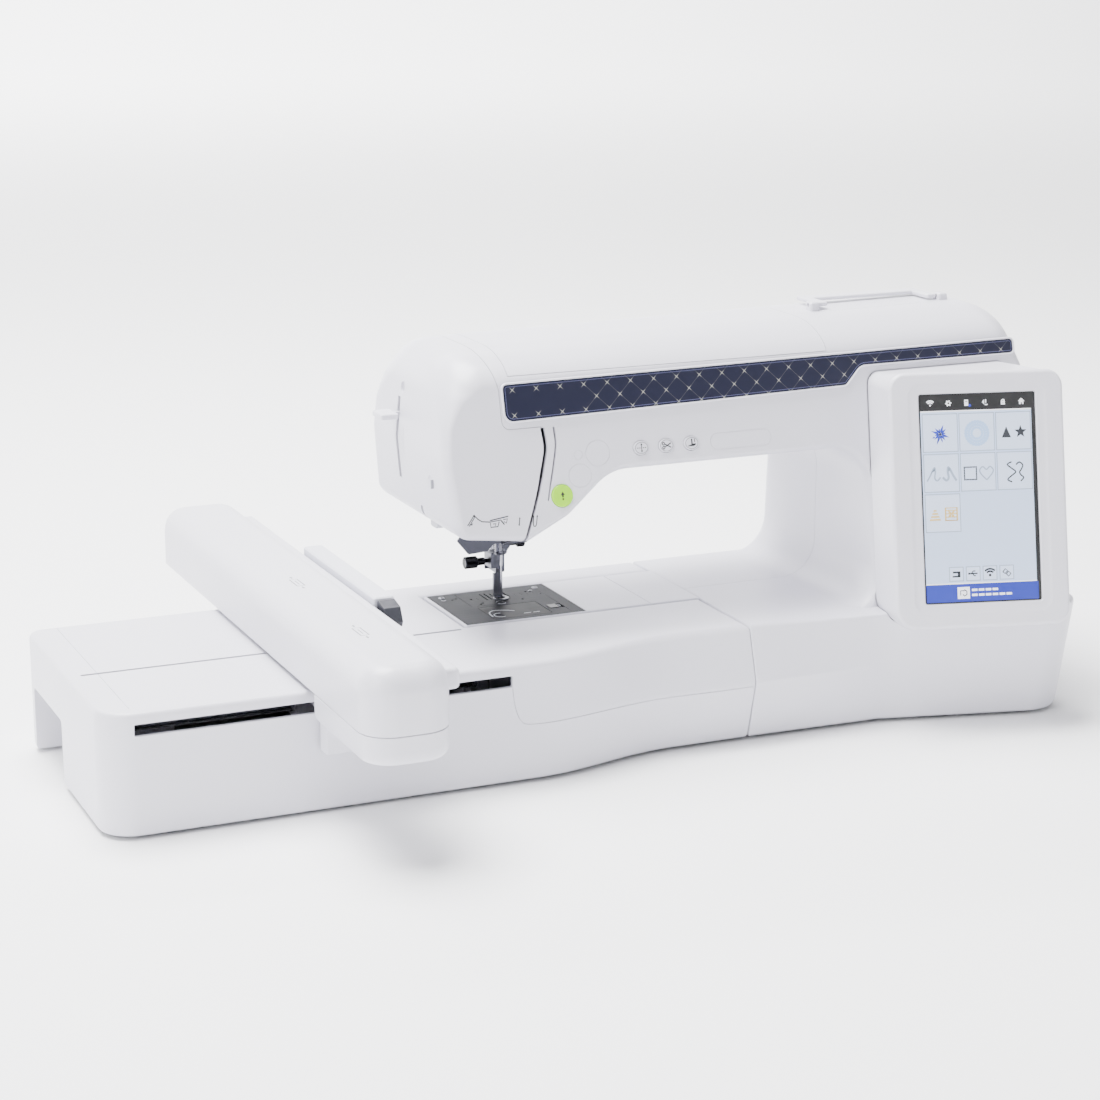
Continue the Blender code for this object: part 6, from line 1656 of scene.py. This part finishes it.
cut(handwheel, rod("bore", "X", SHAFT_AXIS, SHAFT_RADIUS + CLEARANCE,
                   wheel_low.x - 0.01, wheel_low.x + 0.0125),
    turned("dish", "X", SHAFT_AXIS, [(WHEEL_FACE - 0.0012, 0.0145),
                                     (WHEEL_FACE - 0.0006, 0.0172),
                                     (WHEEL_FACE + 0.01, 0.0200)]))
seat(handwheel, "handwheel", white_abs)

# ---------------------------------------------------------------- cast frame, thread tray
# The frame is die-cast aluminium, as cast but for its bores.  The tray under the lid and
# the lying spool pin with its cap are white mouldings.


def die_cast(name, colour):
    """Die-cast aluminium as it leaves the die: dull grey with a faint flow pattern."""
    material, tree, shader = new_material(name, colour, 0.5, 0.85)
    flow = pattern(tree, "Noise", 0.012, Detail=5.0, Distortion=0.8)
    vary_colour(tree, shader, flow, "#8A8B90", "#A5A6AA")
    return material


softened("chassis", 0.0008, die_cast("cast_aluminium", "#989A9E"))
softened("spool_tray", 0.0004, white_abs)
softened("spool_pin", 0.0004, white_abs)

# ---------------------------------------------------------------- mains inlet and switch
# Black nylon: a two-pin inlet in its port and a rocker switch above it, with brass pins.
black_nylon = moulded_abs("black_nylon", "#1D1D20", 0.42)
softened("power_inlet", 0.0004, black_nylon)
softened("power_switch", 0.0004, black_nylon)
inlet_low, inlet_high = packed_box("power_inlet")
INLET_MIDDLE = ((inlet_low.y + inlet_high.y) / 2, (inlet_low.z + inlet_high.z) / 2)
contacts = [rod("pin", "X", (INLET_MIDDLE[0] + side, INLET_MIDDLE[1]), 0.0012, 0.2478,
                inlet_high.x - 0.004) for side in (-0.0045, 0.0045)]
seat(together("inlet_pins", contacts), "power_inlet",
     zinc_plate("nickelled_brass", "#C9C3B0", 0.2), shows=False)

# ---------------------------------------------------------------- embroidery unit
# A white ABS box the height of the bed, with a slot along its front and a groove across its
# top for the carriage, a hand tunnel in its left end, and a part line below the slot.
UNIT_LEFT = -0.481
UNIT_FRONT = -0.020
UNIT_WALL_GAP = 0.0005
TUNNEL_END = -0.405
TUNNEL_FRONT = 0.098
TUNNEL_REAR = 0.182
TUNNEL_TOP = 0.050
SLOT_LEFT = -0.4595
SLOT_RIGHT = -0.193
SLOT_BOTTOM = BED_TOP - 0.016
SLOT_TOP = BED_TOP - 0.008
GROOVE_Y = 0.075
GROOVE_WIDTH = 0.0032
NOTCH_X = FREE_ARM_LEFT - UNIT_WALL_GAP
NOTCH_FRONT = FREE_ARM_FRONT - UNIT_WALL_GAP
NOTCH_REAR = FREE_ARM_REAR + UNIT_WALL_GAP
UNIT_RIGHT = SEAM_X - UNIT_WALL_GAP


def unit_front(x, z):
    """Y of the unit's front, which meets the machine's front at the seam."""
    plan = UNIT_FRONT + (0.001 - UNIT_FRONT) * blend(-0.172, -0.060, x)
    ramp = (z - TABLE_GAP) / (CREASE_Z - TABLE_GAP)
    if z > CREASE_Z:
        ramp = (BED_TOP - z) / (BED_TOP - CREASE_Z)
    return plan - FRONT_BULGE * blend(-0.200, UNIT_RIGHT, x) * ramp


def unit_section(z, skin):
    edge = max(0.0008, skin + 0.0001)
    corners = [(UNIT_LEFT, UNIT_FRONT, 0.024)]
    corners += [(x, unit_front(x, z), 0)
                for x in (-0.200 + 0.006 * step for step in range(31))]
    corners += [(UNIT_RIGHT, unit_front(UNIT_RIGHT, z), edge), (UNIT_RIGHT, NOTCH_FRONT, edge),
                (NOTCH_X, NOTCH_FRONT, 0), (NOTCH_X, NOTCH_REAR, 0),
                (UNIT_RIGHT, NOTCH_REAR, edge), (UNIT_RIGHT, REAR_FACE, edge),
                (UNIT_LEFT, REAR_FACE, 0.012)]
    return inset(rounded(corners, 8), skin)


def unit_solid(name, skin, levels):
    rings = []
    for level, edge in levels:
        section = unit_section(min(max(level, TABLE_GAP), BED_TOP), skin + edge)
        rings.append([lift(point, "Z", level) for point in section])
    return loft(name, rings)


def unit_face(x, z, outside=0.0):
    """Point on the unit's front, or that far outside it."""
    return Vector((x, unit_front(x, z) - outside, z))


unit_case = unit_solid("unit_case_moulding", 0, (
    (TABLE_GAP, 0.0014), (TABLE_GAP + 0.0008, 0.0006), (TABLE_GAP + 0.003, 0), (0.015, 0),
    (0.026, 0), (0.037, 0), (CREASE_Z, 0), (0.058, 0), (0.068, 0), (0.077, 0),
    (BED_TOP - 0.0042, 0), (BED_TOP - 0.0026, 0.0003), (BED_TOP - 0.0013, 0.0011),
    (BED_TOP - 0.0005, 0.0023), (BED_TOP, 0.0042)))
unit_hollow = unit_solid("unit_hollow", WALL, (
    (-0.002, 0), (0.026, 0), (CREASE_Z, 0), (0.068, 0), (BED_TOP - WALL, 0)))
tunnel = ((UNIT_LEFT - 0.01, TUNNEL_FRONT, -0.01), (TUNNEL_END, TUNNEL_REAR, TUNNEL_TOP))
cut(unit_hollow, block("tunnel_wall", (tunnel[0][0], tunnel[0][1] - WALL, tunnel[0][2]),
                       (tunnel[1][0] + WALL, tunnel[1][1] + WALL, tunnel[1][2] + WALL)))
LEVER_Y = (TUNNEL_FRONT + 0.032, TUNNEL_FRONT + 0.052)
cut(unit_case, unit_hollow)
cut(unit_case, block("tunnel", tunnel[0], tunnel[1], 0.004, "X"))
slot_low = (SLOT_LEFT, UNIT_FRONT - 0.02, SLOT_BOTTOM)
cut(unit_case,
    block("slot", slot_low, (SLOT_RIGHT, UNIT_FRONT + 0.006, SLOT_TOP), 0.0012, "Y"),
    block("groove", (SLOT_LEFT - 0.012, GROOVE_Y - GROOVE_WIDTH / 2, BED_TOP - 0.01),
          (SLOT_RIGHT, GROOVE_Y + GROOVE_WIDTH / 2, BED_TOP + 0.01), 0.0014),
    block("lever_hole", (TUNNEL_END - 0.030, LEVER_Y[0] - 0.0005, TUNNEL_TOP - 0.01),
          (TUNNEL_END - 0.008, LEVER_Y[1] + 0.0005, TUNNEL_TOP + WALL + 0.004)))
cut(unit_case, block("lead_in", (SLOT_LEFT - 0.0008, UNIT_FRONT - 0.02, SLOT_BOTTOM - 0.0008),
                     (SLOT_RIGHT + 0.0008, UNIT_FRONT + 0.0006, SLOT_TOP + 0.0008), 0.0016, "Y"),
    block("lead_in", (SLOT_LEFT - 0.0125, GROOVE_Y - 0.0021, BED_TOP - 0.0006),
          (SLOT_RIGHT + 0.0005, GROOVE_Y + 0.0021, BED_TOP + 0.01), 0.0018))
PART_LINE = eased([(-0.1930, 0.0715), (-0.1908, 0.0560), (-0.1850, 0.0450), (-0.1700, 0.0432),
                   (-0.1400, 0.0436), (-0.0900, 0.0442), (-0.0400, 0.0447), (0.0, 0.0450)], 3)
SEAM_WIDTH = 0.0006
rings = []
for index, spot in enumerate(PART_LINE):
    ahead = PART_LINE[min(index + 1, len(PART_LINE) - 1)] - PART_LINE[max(index - 1, 0)]
    aside = Vector((-ahead.y, ahead.x)).normalized() * SEAM_WIDTH / 2
    rings.append([unit_face(spot.x + aside.x, spot.y + aside.y, 0.003),
                  unit_face(spot.x - aside.x, spot.y - aside.y, 0.003),
                  unit_face(spot.x - aside.x, spot.y - aside.y, -0.0007),
                  unit_face(spot.x + aside.x, spot.y + aside.y, -0.0007)])
cut(unit_case, loft("part_line", rings))
cut(unit_case, block("end_seam", (UNIT_LEFT + 0.0210, UNIT_FRONT + 0.010, BED_TOP - 0.0005),
                     (UNIT_LEFT + 0.0214, REAR_FACE - 0.006, BED_TOP + 0.01)))
seat(unit_case, "unit_case", white_abs)

softened("unit_base_plate", 0.0005, grey_coat)
unit_screws = [cross_head("Z", place, PLATE_UNDER + 0.0003, 0.0032, -1)
               for place in ((-0.465, 0.050), (-0.300, 0.010), (-0.205, 0.040), (-0.220, 0.185),
                             (-0.380, 0.190), (-0.060, 0.185), (-0.060, 0.030))]
seat(together("unit_screws", unit_screws), "unit_base_plate", screw_zinc, shows=False)
softened("x_rail", 0.0004, ground_steel)
softened("x_motor", 0.0006, baked_coat("motor_coat", "#232327"))
for node in ("unit_foot_front", "unit_foot_rear"):
    softened(node, 0.0006, dark_rubber)
softened("unit_release_lever", 0.0005, moulded_abs("release_grey", "#6E6F77", 0.42))

# ---------------------------------------------------------------- carriage
# The carriage rides on a bracket that reaches into the unit's slot and groove.  Its long
# white cover has a lower cover below its front, a steel rail inside and a flange at the right.
CARRIAGE_LEFT = -0.342
CARRIAGE_RIGHT = -0.281
CARRIAGE_FRONT = -0.143
CARRIAGE_REAR = 0.343
CARRIAGE_BOTTOM = BED_TOP + 0.0032
CARRIAGE_TOP = BED_TOP + 0.047
FLANGE_RIGHT = -0.2665
FLANGE_TOP = BED_TOP + 0.0325
FLANGE_BOTTOM = BED_TOP + 0.018
BLOCK_FRONT = UNIT_FRONT - 0.0165
softened("carriage_bracket", 0.0007, white_abs)
softened("carriage_rail", 0.0005, ground_steel)
carriage_plan = rounded([(CARRIAGE_LEFT, CARRIAGE_FRONT, 0.022),
                         (CARRIAGE_RIGHT, CARRIAGE_FRONT, 0.022),
                         (CARRIAGE_RIGHT, CARRIAGE_REAR, 0.018),
                         (CARRIAGE_LEFT, CARRIAGE_REAR, 0.018)], 14)
crown = [(CARRIAGE_TOP - 0.018, 0), (CARRIAGE_TOP - 0.0135, 0.0006),
         (CARRIAGE_TOP - 0.009, 0.0019), (CARRIAGE_TOP - 0.0055, 0.0040),
         (CARRIAGE_TOP - 0.003, 0.0066),
         (CARRIAGE_TOP - 0.0014, 0.0093), (CARRIAGE_TOP - 0.0004, 0.0124), (CARRIAGE_TOP, 0.0152)]
cover = stacked("carriage_cover_moulding", carriage_plan, "Z", [
    (CARRIAGE_BOTTOM, 0.0004), (CARRIAGE_BOTTOM + 0.0004, 0)] + crown)
join(cover, block("flange", (CARRIAGE_RIGHT - 0.004, CARRIAGE_FRONT + 0.034, FLANGE_BOTTOM),
                  (FLANGE_RIGHT, CARRIAGE_REAR - 0.004, FLANGE_TOP), 0.0032))
cut(cover,
    stacked("inside", carriage_plan, "Z", (
        (0.05, 0), (CARRIAGE_TOP - 0.018, 0), (CARRIAGE_TOP - 0.009, 0.0020),
        (CARRIAGE_TOP - WALL, 0.0065)), WALL),
    block("under_flange", (CARRIAGE_RIGHT - 0.010, CARRIAGE_FRONT + 0.040, 0.05),
          (FLANGE_RIGHT - 0.0025, CARRIAGE_REAR - 0.012, FLANGE_TOP - 0.0028)),
    block("holder_way", (CARRIAGE_RIGHT - 0.010, CARRIAGE_FRONT + 0.040, 0.05),
          (FLANGE_RIGHT + 0.01, CARRIAGE_REAR - 0.012, FLANGE_BOTTOM + 0.0005)))
seat(cover, "carriage_cover", white_abs)

lower_rear = BLOCK_FRONT - CLEARANCE
lower = stacked("carriage_lower_moulding", carriage_plan, "Z", (
    (CARRIAGE_BOTTOM - 0.0200, 0.0046), (CARRIAGE_BOTTOM - 0.0192, 0.0029),
    (CARRIAGE_BOTTOM - 0.0180, 0.0016), (CARRIAGE_BOTTOM - 0.0160, 0.0006),
    (CARRIAGE_BOTTOM - 0.0130, 0.0001), (CARRIAGE_BOTTOM - 0.0110, 0),
    (CARRIAGE_BOTTOM - CLEARANCE - 0.0004, 0), (CARRIAGE_BOTTOM - CLEARANCE, 0.0004)))
cut(lower, block("rear", (-0.5, lower_rear, 0.0), (0.0, 0.5, 0.2)))
cut(lower, block("well", (CARRIAGE_LEFT + WALL + 0.004, CARRIAGE_FRONT + WALL + 0.006,
                          CARRIAGE_BOTTOM - 0.0172),
                 (CARRIAGE_RIGHT - WALL - 0.004, lower_rear - WALL, 0.2), 0.004))
seat(lower, "carriage_lower_cover", white_abs)
carriage_marks = [stroke([(-9, 5.5), (-9, 0), (9, 0), (9, 5.5), (-9, 5.5)], 0.5),
                  stroke([(-14, 2.8), (-11.5, 2.8)], 0.5),
                  [(-14.0, 1.6), (-14.0, 4.0), (-16.0, 2.8)],
                  stroke([(11.5, 2.8), (14, 2.8)], 0.5),
                  [(14.0, 1.6), (14.0, 4.0), (16.0, 2.8)], stroke([(-5, 2.8), (5, 2.8)], 0.4)]
MARK_X = -0.3115
for number, y in enumerate((0.080, -0.052)):
    printed(f"carriage_mark_{number}", "carriage_cover", grey_ink, carriage_marks,
            lambda a, b, height, y=y: Vector((MARK_X - b / 1000, y + a / 1000,
                                              CARRIAGE_TOP + height)))

# ---------------------------------------------------------------- frame holder
# A pale acetal holder slides along the flange and takes the embroidery frame under a grey
# clamping lever at its front end.
softened("frame_holder", 0.0008, moulded_abs("pale_acetal", "#D3D4DD", 0.36))
softened("frame_lever", 0.0006, moulded_abs("lever_grey", "#2B2C33", 0.4))
